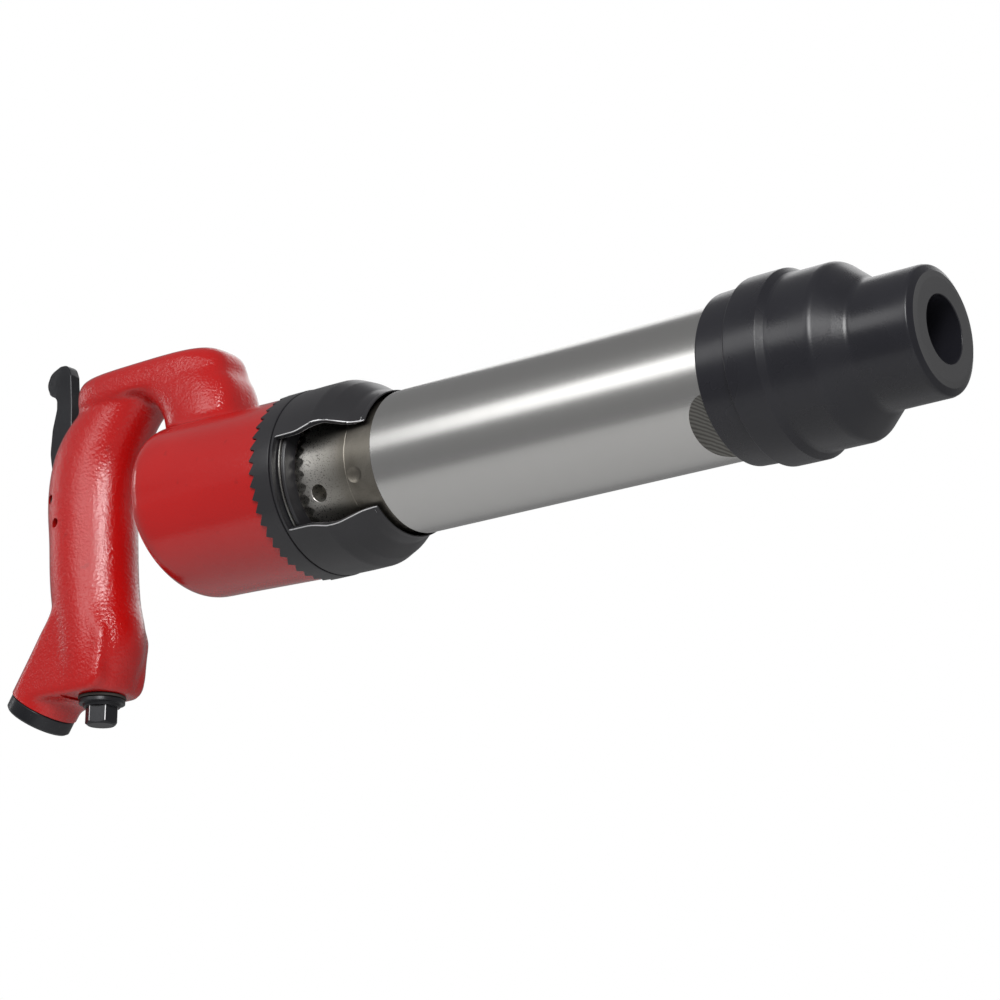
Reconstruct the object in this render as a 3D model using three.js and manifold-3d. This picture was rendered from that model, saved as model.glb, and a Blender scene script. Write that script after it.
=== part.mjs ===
// Heavy pneumatic rivet gun with a closed D handle: air valve and lever in the grip, slide valve and
// piston in the barrel, turning exhaust deflector, locking ring and a rubber nose boot.
// Millimetres. Inside the gun group X runs along the barrel axis with 0 at the nose face and +X
// pointing out of the nose, +Z is up and Y is the symmetry plane. The group is then raised and
// centred, so that the part's origin is the bottom centre of its box.
import * as THREE from "three";
import { mergeVertices } from "three/addons/utils/BufferGeometryUtils.js";
import Module from "manifold-3d";

const wasm = await Module();
wasm.setup();

// ---- driving dimensions -------------------------------------------------------------------------

const GAP = 0.3; // air left between pieces that touch or slide
const ROUND = 32; // sides of a large turned piece
const SMALL_ROUND = 12; // sides of a small turned piece

const AXIS_HEIGHT = 73.298; // barrel axis above the flat end of the throttle plug
const CENTRE_X = 203.745; // half of the overall length

const BORE_R = 14.3; // 1 1/8 in piston bore
const STROKE = 102; // 4 in
const PISTON = { back: -272, front: -198 }; // at the back of its stroke
const SHANK_R = 8.65; // 0.680 in round rivet set shank

const TUBE = { r: 25.4, back: -209, front: -60.5 };
const COLLAR_R = 24;
const NECK_R = 22;
const THREAD_R = 21.2;
const BARREL = { back: -277, front: -32 };
const BUSHING = { r: 12.6, back: PISTON.front + STROKE + 12, front: -24 };
const FLUTES = { count: 34, r: 2, front: -243.5, back: -258 };
const PORT = { r: 3, x: -235, angle: -29, count: 4 };
const DIMPLE = { r: 2.5, depth: 1.6, x: -217.6, angle: -21 };
const DOWEL = { r: 1.4, z: -17.7, back: -302, front: -270 };
const FLAT = { distance: 21.5, cutterR: 11.9, start: -73.2, angle: -58 };

const TEETH = { count: 46, depth: 2.5, rootR: 28.5, longShare: 0.77 };
const LOCK = { r: 34, hubR: 30.3, back: -254.5, face: -247.5, front: -243.4 };
const CLIP = { x: -245.5, width: 0.7, innerR: 30, outerR: 31.2, gapAngle: 14 };

const SHELL = { back: -247.2, rimFront: -246, rimInnerR: 30.6, front: -211.5 };
const WINDOW = { rearTop: 14, rearBottom: -44.5, frontTop: 22, frontBottom: -50 };

const BODY = { r: 33, backR: 31.7, front: -254.8, back: -322.5, backTilt: 0.05, edge: 12 };
const HANDLE_BORE = { r: 21.5, back: -306 };
const WEB = { top: 63.3, halfWidth: 13, rearCentre: -361, edge: 4.5 };
const VALVE_X = -362; // vertical axis of the throttle valve
const GRIP_BOTTOM = -61.8;

const INLET = { x: -397.3, z: -66.3, tilt: 35, bossR: 13.3, boreR: 7.4 };
const INLET_BUSHING = { r: 13, length: 6, threadR: 9.7, threadEnd: 20 };
const PIVOT = { x: -382.5, z: 16.5 };
const STOP = { x: -377.9, z: 6 };
const PIN = { r: 1.6, halfLength: 11.2 };
const LEVER_HALF = 2.5; // half the lever's thickness
const SLOT_HALF = 2.9;
const PUSH_PIN = { r: 1.5, top: 9.5, bottom: -20.5 };

const TOE = { x: VALVE_X, z: PUSH_PIN.top + GAP + 3.5, r: 3.5 }; // end of the lever over the pin

const CAP = { r: 25.4, back: -60.2, front: -15.5, wall: 4, holeR: 10.9, frontR: 18, shoulder: -22 };
const BOOT = { frontR: 20.9, midR: 28.8, ringR: 30.8, rearR: 28.6, back: -72.5, holeR: 10.9 };
const BLOCK = { r: 21, back: -305.7, front: -287, cavityR: 15.4, cavityBack: -302 };
const PLATE = { back: -286.7, front: -277.3, holeR: 11 };
const SHUTTLE = { r: 15.1, innerR: 10, back: -301.7, length: 10 };

const SEAT = { r: 6.2, innerR: 3.6, bottom: -26, top: -20.4 };
const PIN_BUSHING = { r: 4.7, bottom: -17.5, top: 2 };
const VALVE = { headR: 5.4, bottom: -32, top: -26.6, stemR: 2.6, stemTop: PUSH_PIN.bottom - GAP };
const SPRING = { bottom: -49.4, top: -32.8, r: 3.9, wire: 0.6, turns: 5 };
const VALVE_BORE_R = 6.5;
const PLUG = { threadR: 6.2, top: -50, bottom: -73, hexR: 6.3 };
const FLANGE = { r: 9.3, top: -63.4, bottom: -66.2 };

const degrees = THREE.MathUtils.degToRad;

// ---- colours and finishes -----------------------------------------------------------------------

const finish = (color, roughness, metalness) => ({ color, roughness, metalness });
const RED_ENAMEL = finish(0xb03030, 0.35, 0.1);
const BLACK_OXIDE = finish(0x26272a, 0.4, 0.7);
const BLACK_SATIN = finish(0x33343a, 0.5, 0.1);
const BLACK_RUBBER = finish(0x2b2c31, 0.6, 0);
const SATIN_STEEL = finish(0xb4b2af, 0.3, 1);
const HARD_STEEL = finish(0x8c8984, 0.35, 1);
const BRONZE = finish(0xa07a3c, 0.4, 1);
const FIBRE = finish(0x3a3733, 0.8, 0);

// ---- shape helpers ------------------------------------------------------------------------------

// A closed three.js geometry as a solid that can be joined and cut.
function solid(geometry) {
  const bare = geometry.clone();
  bare.deleteAttribute("normal");
  bare.deleteAttribute("uv");
  const merged = mergeVertices(bare, 1e-4);
  const corners = merged.index.array;
  const triVerts = [];
  for (let i = 0; i < corners.length; i += 3) {
    const [a, b, c] = [corners[i], corners[i + 1], corners[i + 2]];
    if (a !== b && b !== c && c !== a) triVerts.push(a, b, c);
  }
  const build = (triangles) =>
    new wasm.Manifold(
      new wasm.Mesh({
        numProp: 3,
        vertProperties: new Float32Array(merged.attributes.position.array),
        triVerts: new Uint32Array(triangles),
      }),
    );
  const made = build(triVerts);
  return made.volume() > 0 ? made : build(triVerts.reverse());
}

const joined = (first, ...others) => others.reduce((whole, piece) => whole.add(piece), first);
const cut = (first, ...others) => others.reduce((whole, piece) => whole.subtract(piece), first);

// Turned about the barrel axis from [x, radius] pairs. The outline is closed by the function.
function turned(outline, sides = ROUND) {
  const points = [...outline, outline[0]].map(([x, r]) => new THREE.Vector2(r, x));
  return solid(new THREE.LatheGeometry(points, sides).rotateZ(-Math.PI / 2));
}

// Turned about a vertical axis through (x, 0) from [z, radius] pairs.
function turnedUpright(x, outline, sides = SMALL_ROUND) {
  const points = [...outline, outline[0]].map(([z, r]) => new THREE.Vector2(r, z));
  return solid(new THREE.LatheGeometry(points, sides).rotateX(Math.PI / 2).translate(x, 0, 0));
}

const tube = (outerR, innerR, back, front) => [
  [back, innerR],
  [back, outerR],
  [front, outerR],
  [front, innerR],
];

// A plain round bar along X between two stations, at an offset from the axis.
function barX(r, back, front, y = 0, z = 0, sides = SMALL_ROUND) {
  const bar = new THREE.CylinderGeometry(r, r, front - back, sides).rotateZ(Math.PI / 2);
  return solid(bar.translate((back + front) / 2, y, z));
}

function barZ(r, bottom, top, x, sides = SMALL_ROUND) {
  const bar = new THREE.CylinderGeometry(r, r, top - bottom, sides).rotateX(Math.PI / 2);
  return solid(bar.translate(x, 0, (bottom + top) / 2));
}

function barY(r, halfLength, x, z, sides = SMALL_ROUND) {
  return solid(new THREE.CylinderGeometry(r, r, 2 * halfLength, sides).translate(x, 0, z));
}

// A radial pin or hole that points away from the barrel axis at an angle. Angle 0 is the -Y side
// and +90 is the top.
function radial(geometry, x, angle, distance) {
  geometry.translate(0, -distance, 0);
  return solid(geometry.rotateX(degrees(-angle)).translate(x, 0, 0));
}

// An outline in the XZ plane, extruded evenly to both sides of the symmetry plane.
function slab(shape, halfWidth, edge = 0) {
  const options = {
    depth: 2 * (halfWidth - edge),
    curveSegments: 10,
    bevelEnabled: edge > 0,
    bevelThickness: edge,
    bevelSize: edge,
    bevelOffset: -edge,
    bevelSegments: edge > 2 ? 4 : 1,
  };
  const geometry = new THREE.ExtrudeGeometry(shape, options);
  return solid(geometry.rotateX(Math.PI / 2).translate(0, halfWidth - edge, 0));
}

function outlineOf(points) {
  return new THREE.Shape(points.map(([x, z]) => new THREE.Vector2(x, z)));
}

// A smooth closed outline through a few points.
function smoothOutline(points, steps) {
  const curve = new THREE.CatmullRomCurve3(
    points.map(([x, z]) => new THREE.Vector3(x, z, 0)),
    true,
    "centripetal",
  );
  const spots = curve.getPoints(steps).slice(0, -1);
  return new THREE.Shape(spots.map((spot) => new THREE.Vector2(spot.x, spot.y)));
}

// A lofted bar of rounded sections stacked up Z. Each station is [z, centre x, half chord, half
// width], and the stations are joined by smooth curves.
function lofted(stations, rows = 17, sides = 20, squareness = 2.4) {
  const places = new THREE.CatmullRomCurve3(stations.map(([z, x]) => new THREE.Vector3(x, 0, z)));
  const sizes = new THREE.CatmullRomCurve3(stations.map(([, , a, b]) => new THREE.Vector3(a, b, 0)));
  const geometry = new THREE.CylinderGeometry(1, 1, 1, sides, rows);
  const spots = geometry.attributes.position;
  const bulge = (value) => Math.sign(value) * Math.abs(value) ** (2 / squareness);
  for (let i = 0; i < spots.count; i += 1) {
    const [x, y, z] = [spots.getX(i), spots.getY(i), spots.getZ(i)];
    const along = THREE.MathUtils.clamp(y + 0.5, 0, 1);
    const place = places.getPoint(along);
    const size = sizes.getPoint(along);
    spots.setXYZ(i, place.x + size.x * bulge(x), size.y * bulge(z), place.z);
  }
  return solid(geometry);
}

const gun = new THREE.Group();
gun.position.set(CENTRE_X, 0, AXIS_HEIGHT);

function addPiece(name, shape, { color, roughness, metalness }) {
  const { vertProperties, triVerts } = shape.getMesh();
  const geometry = new THREE.BufferGeometry();
  geometry.setAttribute("position", new THREE.BufferAttribute(vertProperties, 3));
  geometry.setIndex(new THREE.BufferAttribute(triVerts, 1));
  geometry.computeVertexNormals();
  const mesh = new THREE.Mesh(geometry, new THREE.MeshStandardMaterial({ color, roughness, metalness }));
  mesh.name = name;
  gun.add(mesh);
}

// ---- lock ring and its saw teeth ----------------------------------------------------------------

// The saw teeth stand on a face at x and point backwards, from the root radius out to a reach.
function sawTeeth(x, reach) {
  const pitch = (2 * Math.PI) / TEETH.count;
  const at = (turn, along, r) => new THREE.Vector3(along, -r * Math.cos(turn), r * Math.sin(turn));
  const teeth = [];
  for (let i = 0; i < TEETH.count; i += 1) {
    const start = i * pitch;
    const tip = start + pitch * (1 - TEETH.longShare);
    const end = start + pitch * 0.985;
    const ends = [TEETH.rootR, reach].map((r) => [
      at(start, x + 0.4, r),
      at(tip, x - TEETH.depth, r),
      at(end, x + 0.4, r),
    ]);
    teeth.push(wedge(ends));
  }
  return joined(...teeth);
}

// A three-sided prism between two triangles.
function wedge(ends) {
  const geometry = new THREE.CylinderGeometry(1, 1, 1, 3);
  const spots = geometry.attributes.position;
  const middles = ends.map(([a, b, c]) => a.clone().add(b).add(c).divideScalar(3));
  for (let i = 0; i < spots.count; i += 1) {
    const which = spots.getY(i) > 0 ? 0 : 1;
    const [x, z] = [spots.getX(i), spots.getZ(i)];
    const onAxis = Math.hypot(x, z) < 0.5;
    const side = Math.round((Math.atan2(x, z) / (2 * Math.PI)) * 3 + 3) % 3;
    spots.setXYZ(i, ...(onAxis ? middles[which] : ends[which][side]).toArray());
  }
  return solid(geometry);
}

function makeLockRing() {
  const chamfer = 1;
  const grooveR = CLIP.innerR - GAP;
  const grooveBack = CLIP.x - 0.2;
  const grooveFront = CLIP.x + CLIP.width + 0.2;
  const ring = turned([
    [LOCK.back, COLLAR_R + GAP],
    [LOCK.back, LOCK.r],
    [LOCK.face - 0.4, LOCK.r],
    [LOCK.face, LOCK.r - 0.4],
    [LOCK.face, LOCK.hubR],
    [grooveBack, LOCK.hubR],
    [grooveBack, grooveR],
    [grooveFront, grooveR],
    [grooveFront, LOCK.hubR],
    [LOCK.front - chamfer, LOCK.hubR],
    [LOCK.front, LOCK.hubR - chamfer],
    [LOCK.front, COLLAR_R + GAP],
  ]);
  const ribs = splineRibs(FLUTES.r - GAP, LOCK.back, LOCK.front - 1.5, 2);
  return joined(ring, sawTeeth(LOCK.back, LOCK.r - 0.2), ribs);
}

// Half-round ribs or flutes spaced evenly round the collar surface. A step of 2 skips every other.
function splineRibs(r, back, front, step) {
  const bars = [];
  for (let i = 0; i < FLUTES.count; i += step) {
    const turn = (i * 2 * Math.PI) / FLUTES.count;
    bars.push(barX(r, back, front, -COLLAR_R * Math.cos(turn), COLLAR_R * Math.sin(turn), 6));
  }
  return joined(...bars);
}

addPiece("lock_ring", makeLockRing(), BLACK_SATIN);

// ---- clip that holds the deflector on the lock ring's hub --------------------------------------

function makeClip() {
  const ring = turned(tube(CLIP.outerR, CLIP.innerR, CLIP.x, CLIP.x + CLIP.width));
  const opening = new THREE.BoxGeometry(4, 8, 2 * CLIP.outerR * Math.sin(degrees(CLIP.gapAngle / 2)));
  return cut(ring, solid(opening.translate(CLIP.x, CLIP.outerR, 0)));
}
addPiece("deflector_clip", makeClip(), HARD_STEEL);

// ---- exhaust deflector --------------------------------------------------------------------------

// Outer radius of the bell-shaped shell along the barrel.
const SHELL_OUTSIDE = [
  [SHELL.back, 33.7],
  [-231, 33.6],
  [-228, 33.1],
  [-225, 31.9],
  [-222, 30.2],
  [-219, 28.4],
  [-216, 27.1],
  [-213.5, 26.5],
  [SHELL.front, 26.2],
];
const SHELL_INSIDE = [
  [SHELL.front, TUBE.r + GAP],
  [-217, TUBE.r + GAP],
  [-220, 27.2],
  [-224, 29.4],
  [-228, 30.9],
  [-233, 31.5],
  [SHELL.rimFront, 31.6],
  [SHELL.rimFront, SHELL.rimInnerR],
  [SHELL.back, SHELL.rimInnerR],
];

// The side window runs from the rim to the front edge, and widens a little in a soft wave.
function makeWindow() {
  const { lerp, smoothstep } = THREE.MathUtils;
  const topAngle = (t) => lerp(WINDOW.rearTop, WINDOW.frontTop, smoothstep(t, 0.15, 0.9));
  const bottomAngle = (t) => lerp(WINDOW.rearBottom, WINDOW.frontBottom, smoothstep(t, 0.1, 0.6));
  const xAt = (t) => lerp(SHELL.rimFront, SHELL.front + 3, t);
  const geometry = new THREE.BoxGeometry(1, 1, 1, 7, 1, 6);
  const spots = geometry.attributes.position;
  for (let i = 0; i < spots.count; i += 1) {
    const along = spots.getX(i) + 0.5;
    const angle = degrees(lerp(bottomAngle(along), topAngle(along), spots.getZ(i) + 0.5));
    const r = spots.getY(i) < 0 ? LOCK.r + 4 : COLLAR_R;
    spots.setXYZ(i, xAt(along), -r * Math.cos(angle), r * Math.sin(angle));
  }
  return solid(geometry);
}
addPiece("exhaust_deflector", cut(turned([...SHELL_OUTSIDE, ...SHELL_INSIDE]), makeWindow()), BLACK_SATIN);

// ---- barrel -------------------------------------------------------------------------------------

// One wrench flat, cut by a round cutter that leaves a curved run-out at its rear.
function makeFlat(angle) {
  const high = FLAT.distance + FLAT.cutterR;
  const profile = new THREE.Shape();
  profile.moveTo(TUBE.front + 1, FLAT.distance);
  profile.lineTo(TUBE.front + 1, high);
  profile.lineTo(FLAT.start - FLAT.cutterR, high);
  profile.absarc(FLAT.start, high, FLAT.cutterR, Math.PI, 1.5 * Math.PI, false);
  return slabTurned(profile, TUBE.r, angle);
}

// An outline of (x, distance from the axis) extruded sideways and turned to an angle round the axis.
function slabTurned(shape, halfWidth, angle) {
  const options = { depth: 2 * halfWidth, bevelEnabled: false, curveSegments: 9 };
  const geometry = new THREE.ExtrudeGeometry(shape, options).translate(0, 0, -halfWidth);
  return solid(geometry.rotateX(degrees(180 - angle)));
}

function makeBarrel() {
  const chamfer = 0.8;
  const outside = [
    [BARREL.back, THREAD_R - 1],
    [BARREL.back + 1, THREAD_R],
    [FLUTES.back, THREAD_R],
    [FLUTES.back, COLLAR_R],
    [TUBE.back, COLLAR_R],
    [TUBE.back, TUBE.r - chamfer],
    [TUBE.back + chamfer, TUBE.r],
    [TUBE.front, TUBE.r],
    [TUBE.front, NECK_R],
    [BARREL.front - 1, NECK_R],
    [BARREL.front, NECK_R - 1],
  ];
  const inside = [
    [BARREL.front, BUSHING.r + GAP],
    [BUSHING.back - GAP, BUSHING.r + GAP],
    [BUSHING.back - GAP, BORE_R],
    [BARREL.back, BORE_R],
  ];
  const ports = [];
  for (let i = 0; i < PORT.count; i += 1) {
    const drill = new THREE.CylinderGeometry(PORT.r, PORT.r, 14, SMALL_ROUND);
    ports.push(radial(drill, PORT.x, PORT.angle + (i * 360) / PORT.count, 19));
  }
  const dimple = new THREE.ConeGeometry(DIMPLE.r * 2, DIMPLE.depth * 2, SMALL_ROUND);
  return cut(
    turned([...outside, ...inside]),
    splineRibs(FLUTES.r, FLUTES.back - 1, FLUTES.front, 1),
    makeFlat(FLAT.angle),
    makeFlat(FLAT.angle + 180),
    radial(dimple, DIMPLE.x, DIMPLE.angle, COLLAR_R),
    barX(DOWEL.r + GAP, BARREL.back - 1, DOWEL.front + GAP, 0, DOWEL.z),
    ...ports,
  );
}

addPiece("barrel", makeBarrel(), SATIN_STEEL);
addPiece("shank_bushing", turned(tube(BUSHING.r, SHANK_R, BUSHING.back, BUSHING.front)), HARD_STEEL);

// ---- piston -------------------------------------------------------------------------------------

const PISTON_SHAPE = [
  [PISTON.back, 0],
  [PISTON.back, 9],
  [PISTON.back + 4, 9],
  [PISTON.back + 6, BORE_R - GAP],
  [PISTON.front - 8, BORE_R - GAP],
  [PISTON.front - 6, 12],
  [PISTON.front - 1, 12],
  [PISTON.front, 11],
  [PISTON.front, 0],
];
addPiece("piston", turned(PISTON_SHAPE), HARD_STEEL);

// ---- retainer cap and rubber boot on the nose ---------------------------------------------------

const CAP_SHAPE = [
  [CAP.back, NECK_R + GAP],
  [CAP.back, CAP.r],
  [CAP.shoulder - 6, CAP.r],
  [CAP.shoulder - 0.4, CAP.frontR],
  [CAP.front, CAP.frontR],
  [CAP.front, CAP.holeR],
  [CAP.front - CAP.wall, CAP.holeR],
  [CAP.front - CAP.wall, CAP.frontR - 4],
  [CAP.shoulder - 3, CAP.frontR - 3],
  [CAP.shoulder - 8.6, NECK_R + GAP],
];
addPiece("retainer_cap", turned(CAP_SHAPE), HARD_STEEL);

// The outside steps of the boot have rounded edges.
const BOOT_SHAPE = [
  [BOOT.back, CAP.r + GAP],
  [BOOT.back, BOOT.rearR - 0.8],
  [BOOT.back + 0.8, BOOT.rearR],
  [-61.6, BOOT.rearR],
  [-59.6, BOOT.ringR],
  [-49.6, BOOT.ringR],
  [-45.4, BOOT.midR],
  [-31, BOOT.midR],
  [-29.2, BOOT.midR - 0.6],
  [-26.4, 24.9],
  [-24.2, 22.9],
  [-21.6, 21.5],
  [-18.5, BOOT.frontR],
  [-3.2, BOOT.frontR],
  [-1.2, 19.4],
  [0, 16.4],
  [0, BOOT.holeR],
  [CAP.front + GAP, BOOT.holeR],
  [CAP.front + GAP, CAP.frontR + GAP],
  [CAP.shoulder, CAP.frontR + GAP],
  [CAP.shoulder - 5.6, CAP.r + GAP],
];
addPiece("nose_boot", turned(BOOT_SHAPE), BLACK_RUBBER);

// ---- slide valve behind the barrel --------------------------------------------------------------

const dowelHole = barX(DOWEL.r + GAP, DOWEL.back - GAP, DOWEL.front + GAP, 0, DOWEL.z);

const BLOCK_SHAPE = [
  [BLOCK.back, 0],
  [BLOCK.back, BLOCK.r],
  [BLOCK.front, BLOCK.r],
  [BLOCK.front, BLOCK.cavityR],
  [BLOCK.cavityBack, BLOCK.cavityR],
  [BLOCK.cavityBack, 0],
];
// Three air ports lead from the outside of the block into its cavity.
const blockPorts = [0, 120, 240].map((angle) =>
  radial(new THREE.CylinderGeometry(2.5, 2.5, 12, 8), (BLOCK.front + BLOCK.cavityBack) / 2, 90 + angle, 18),
);
addPiece("valve_block", cut(turned(BLOCK_SHAPE), dowelHole, ...blockPorts), HARD_STEEL);
const plateRing = turned(tube(BLOCK.r, PLATE.holeR, PLATE.back, PLATE.front));
addPiece("valve_plate", cut(plateRing, dowelHole), HARD_STEEL);
addPiece("valve_dowel", barX(DOWEL.r, DOWEL.back, DOWEL.front, 0, DOWEL.z), HARD_STEEL);
const SHUTTLE_SHAPE = [
  [SHUTTLE.back, SHUTTLE.innerR],
  [SHUTTLE.back, SHUTTLE.r],
  [SHUTTLE.back + 3, SHUTTLE.r],
  [SHUTTLE.back + 3.5, SHUTTLE.r - 1.5],
  [SHUTTLE.back + 6.5, SHUTTLE.r - 1.5],
  [SHUTTLE.back + 7, SHUTTLE.r],
  [SHUTTLE.back + SHUTTLE.length, SHUTTLE.r],
  [SHUTTLE.back + SHUTTLE.length, SHUTTLE.innerR],
];
addPiece("shuttle_valve", turned(SHUTTLE_SHAPE), HARD_STEEL);

// ---- air inlet ----------------------------------------------------------------------------------

// Things on the inlet are turned about their own axis with x = 0 on the outer face and +X into the
// grip, and then tilted into place.
const inletDirection = new THREE.Vector3(Math.sin(degrees(INLET.tilt)), 0, Math.cos(degrees(INLET.tilt)));
function atInlet(geometry) {
  const turn = new THREE.Quaternion().setFromUnitVectors(new THREE.Vector3(1, 0, 0), inletDirection);
  return solid(geometry.applyQuaternion(turn).translate(INLET.x, 0, INLET.z));
}
function inletTurned(outline, sides = 24) {
  const points = [...outline, outline[0]].map(([x, r]) => new THREE.Vector2(r, x));
  return atInlet(new THREE.LatheGeometry(points, sides).rotateZ(-Math.PI / 2));
}
const BUSHING_SHAPE = [
  [0, INLET.boreR],
  [0, INLET_BUSHING.r - 0.8],
  [0.8, INLET_BUSHING.r],
  [INLET_BUSHING.length, INLET_BUSHING.r],
  [INLET_BUSHING.length, INLET_BUSHING.threadR],
  [INLET_BUSHING.threadEnd, INLET_BUSHING.threadR],
  [INLET_BUSHING.threadEnd, INLET.boreR],
];
addPiece("inlet_bushing", inletTurned(BUSHING_SHAPE), BLACK_OXIDE);

// The screen is a thin disc with a grid of holes, held behind the bushing.
function makeScreen() {
  const [outside, inside, discR] = [INLET_BUSHING.threadEnd + GAP, INLET_BUSHING.threadEnd + 1.5, 9.2];
  const disc = inletTurned([
    [outside, 0],
    [outside, discR],
    [inside, discR],
    [inside, 0],
  ]);
  const holes = [[0, 0]];
  for (let turn = 0; turn < 6; turn += 1) holes.push([4.4, (turn * Math.PI) / 3]);
  const drills = holes.map(([distance, turn]) => {
    const drill = new THREE.CylinderGeometry(1.3, 1.3, 6, 6).rotateZ(Math.PI / 2);
    drill.translate(outside, distance * Math.cos(turn), distance * Math.sin(turn));
    return atInlet(drill);
  });
  return cut(disc, ...drills);
}
addPiece("inlet_screen", makeScreen(), BRONZE);

// ---- throttle valve in the grip -----------------------------------------------------------------


addPiece("throttle_seat", turnedUpright(VALVE_X, tube(SEAT.r, SEAT.innerR, SEAT.bottom, SEAT.top)), BRONZE);
addPiece(
  "push_pin_bushing",
  turnedUpright(VALVE_X, tube(PIN_BUSHING.r, PUSH_PIN.r + GAP, PIN_BUSHING.bottom, PIN_BUSHING.top)),
  BRONZE,
);
addPiece("push_pin", barZ(PUSH_PIN.r, PUSH_PIN.bottom, PUSH_PIN.top, VALVE_X), HARD_STEEL);

const VALVE_SHAPE = [
  [VALVE.bottom, 0],
  [VALVE.bottom, VALVE.headR],
  [VALVE.top - 1.6, VALVE.headR],
  [VALVE.top - 1.6, VALVE.stemR],
  [VALVE.stemTop, VALVE.stemR],
  [VALVE.stemTop, 0],
];
addPiece("throttle_valve", turnedUpright(VALVE_X, VALVE_SHAPE), BRONZE);
const SEAL_SHAPE = tube(VALVE.headR, VALVE.stemR + GAP, VALVE.top - 1.3, VALVE.top + 0.3);
addPiece("throttle_valve_seal", turnedUpright(VALVE_X, SEAL_SHAPE), BLACK_RUBBER);

class Helix extends THREE.Curve {
  getPoint(t, target = new THREE.Vector3()) {
    const turn = t * SPRING.turns * 2 * Math.PI;
    const rise = SPRING.top - SPRING.bottom - 2 * SPRING.wire;
    const z = SPRING.bottom + SPRING.wire + rise * t;
    return target.set(VALVE_X + SPRING.r * Math.cos(turn), SPRING.r * Math.sin(turn), z);
  }
}
const wireSection = new THREE.Shape();
wireSection.absarc(0, 0, SPRING.wire, 0, 2 * Math.PI);
const springGeometry = new THREE.ExtrudeGeometry(wireSection, {
  extrudePath: new Helix(),
  steps: 45,
  curveSegments: 3,
  bevelEnabled: false,
});
addPiece("throttle_spring", solid(springGeometry), HARD_STEEL);

function makePlug() {
  const thread = turnedUpright(VALVE_X, [
    [FLANGE.bottom, 0],
    [FLANGE.bottom, FLANGE.r - 0.5],
    [FLANGE.bottom + 0.5, FLANGE.r],
    [FLANGE.top, FLANGE.r],
    [FLANGE.top, PLUG.threadR],
    [PLUG.top, PLUG.threadR],
    [PLUG.top, 0],
  ]);
  const hex = barZ(PLUG.hexR, PLUG.bottom, FLANGE.bottom + 0.5, VALVE_X, 6);
  return joined(thread, hex);
}
addPiece("throttle_plug", makePlug(), BLACK_OXIDE);
const GASKET_SHAPE = tube(FLANGE.r + 0.3, VALVE_BORE_R, FLANGE.top + GAP, GRIP_BOTTOM - GAP);
addPiece("plug_gasket", turnedUpright(VALVE_X, GASKET_SHAPE), FIBRE);

// ---- throttle lever and its pins ----------------------------------------------------------------

// The lever is a flat forging: a round thumb pad at the top, a neck, a boss on the pivot pin, a toe
// over the push pin and a heel that rests against the stop pin.
function makeLever() {
  const blade = smoothOutline(
    [
      [-386.2, 70],
      [-388.5, 75.2],
      [-392.5, 76.2],
      [-397, 74],
      [-399.3, 69.8],
      [-397.6, 66],
      [-393.6, 63],
      [-392.6, 59],
      [-394.6, 50],
      [-395.2, 40],
      [-393, 30],
      [-388.5, 20],
      [-386, 13],
      [-381, 12.4],
      [-379, 17],
      [-381, 24],
      [-383.4, 40],
      [-384.2, 58],
    ],
    36,
  );
  const toeArm = outlineOf([
    [PIVOT.x, PIVOT.z - 3.6],
    [TOE.x, TOE.z - TOE.r],
    [TOE.x, TOE.z + TOE.r],
    [PIVOT.x, PIVOT.z + 4.4],
  ]);
  const heel = outlineOf([
    [-386.4, 15],
    [-384.6, 4],
    [-380.8, 4],
    [-379.8, 6],
    [-379.8, 15],
  ]);
  const body = joined(
    slab(blade, LEVER_HALF, 0.8),
    barY(4.4, LEVER_HALF, PIVOT.x, PIVOT.z),
    slab(toeArm, LEVER_HALF - 0.2),
    barY(TOE.r, LEVER_HALF - 0.2, TOE.x, TOE.z),
    slab(heel, LEVER_HALF - 0.2),
  );
  return cut(body, barY(PIN.r + GAP, 10, PIVOT.x, PIVOT.z));
}
addPiece("throttle_lever", makeLever(), BLACK_OXIDE);
addPiece("lever_pivot_pin", barY(PIN.r, PIN.halfLength, PIVOT.x, PIVOT.z), HARD_STEEL);
addPiece("lever_stop_pin", barY(PIN.r, PIN.halfLength, STOP.x, STOP.z), HARD_STEEL);

// ---- handle casting -----------------------------------------------------------------------------

// Grip sections from the bottom face to the root of the web.
const GRIP_STATIONS = [
  [GRIP_BOTTOM, -365, 14.8, 12.6],
  [-56, -364, 15.8, 13.4],
  [-46, -362.8, 16.3, 13.9],
  [-36, -364.4, 16.8, 14],
  [-26, -367.7, 17.2, 13.9],
  [-14, -369.5, 17.5, 13.9],
  [0, -370.8, 17.6, 13.9],
  [14, -372.6, 17.4, 13.9],
  [26, -372.6, 17.2, 14],
  [36, -369.4, 18.2, 14],
  [44, -364.5, 19, 13.8],
  [50, -357.8, 19.6, 13.4],
  [55, -350, 19.6, 12.6],
];

// The web's side outline: top, front slope down to the body, and the curved inside of the opening.
const WEB_OUTLINE = [
  [-374, 52],
  [-374, 57.5],
  [-372.8, 60.8],
  [-370, 62.8],
  [-366, WEB.top],
  [-310, WEB.top],
  [-305.6, 62],
  [-302.4, 59],
  [-299.4, 54.5],
  [-296.3, 48.5],
  [-293.8, 42],
  [-291.5, 34],
  [-289, 24],
  [-318, 18],
  [-324.5, 32],
  [-326, 38],
  [-330.5, 44.6],
  [-337, 49.2],
  [-346, 51.6],
];

// Fills the side between the grip and the inlet boss.
const HEEL_OUTLINE = [
  [-375, -26],
  [-397.5, -57.5],
  [-390, -61.4],
  [-364, -61.6],
  [-361, -26],
];

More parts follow.
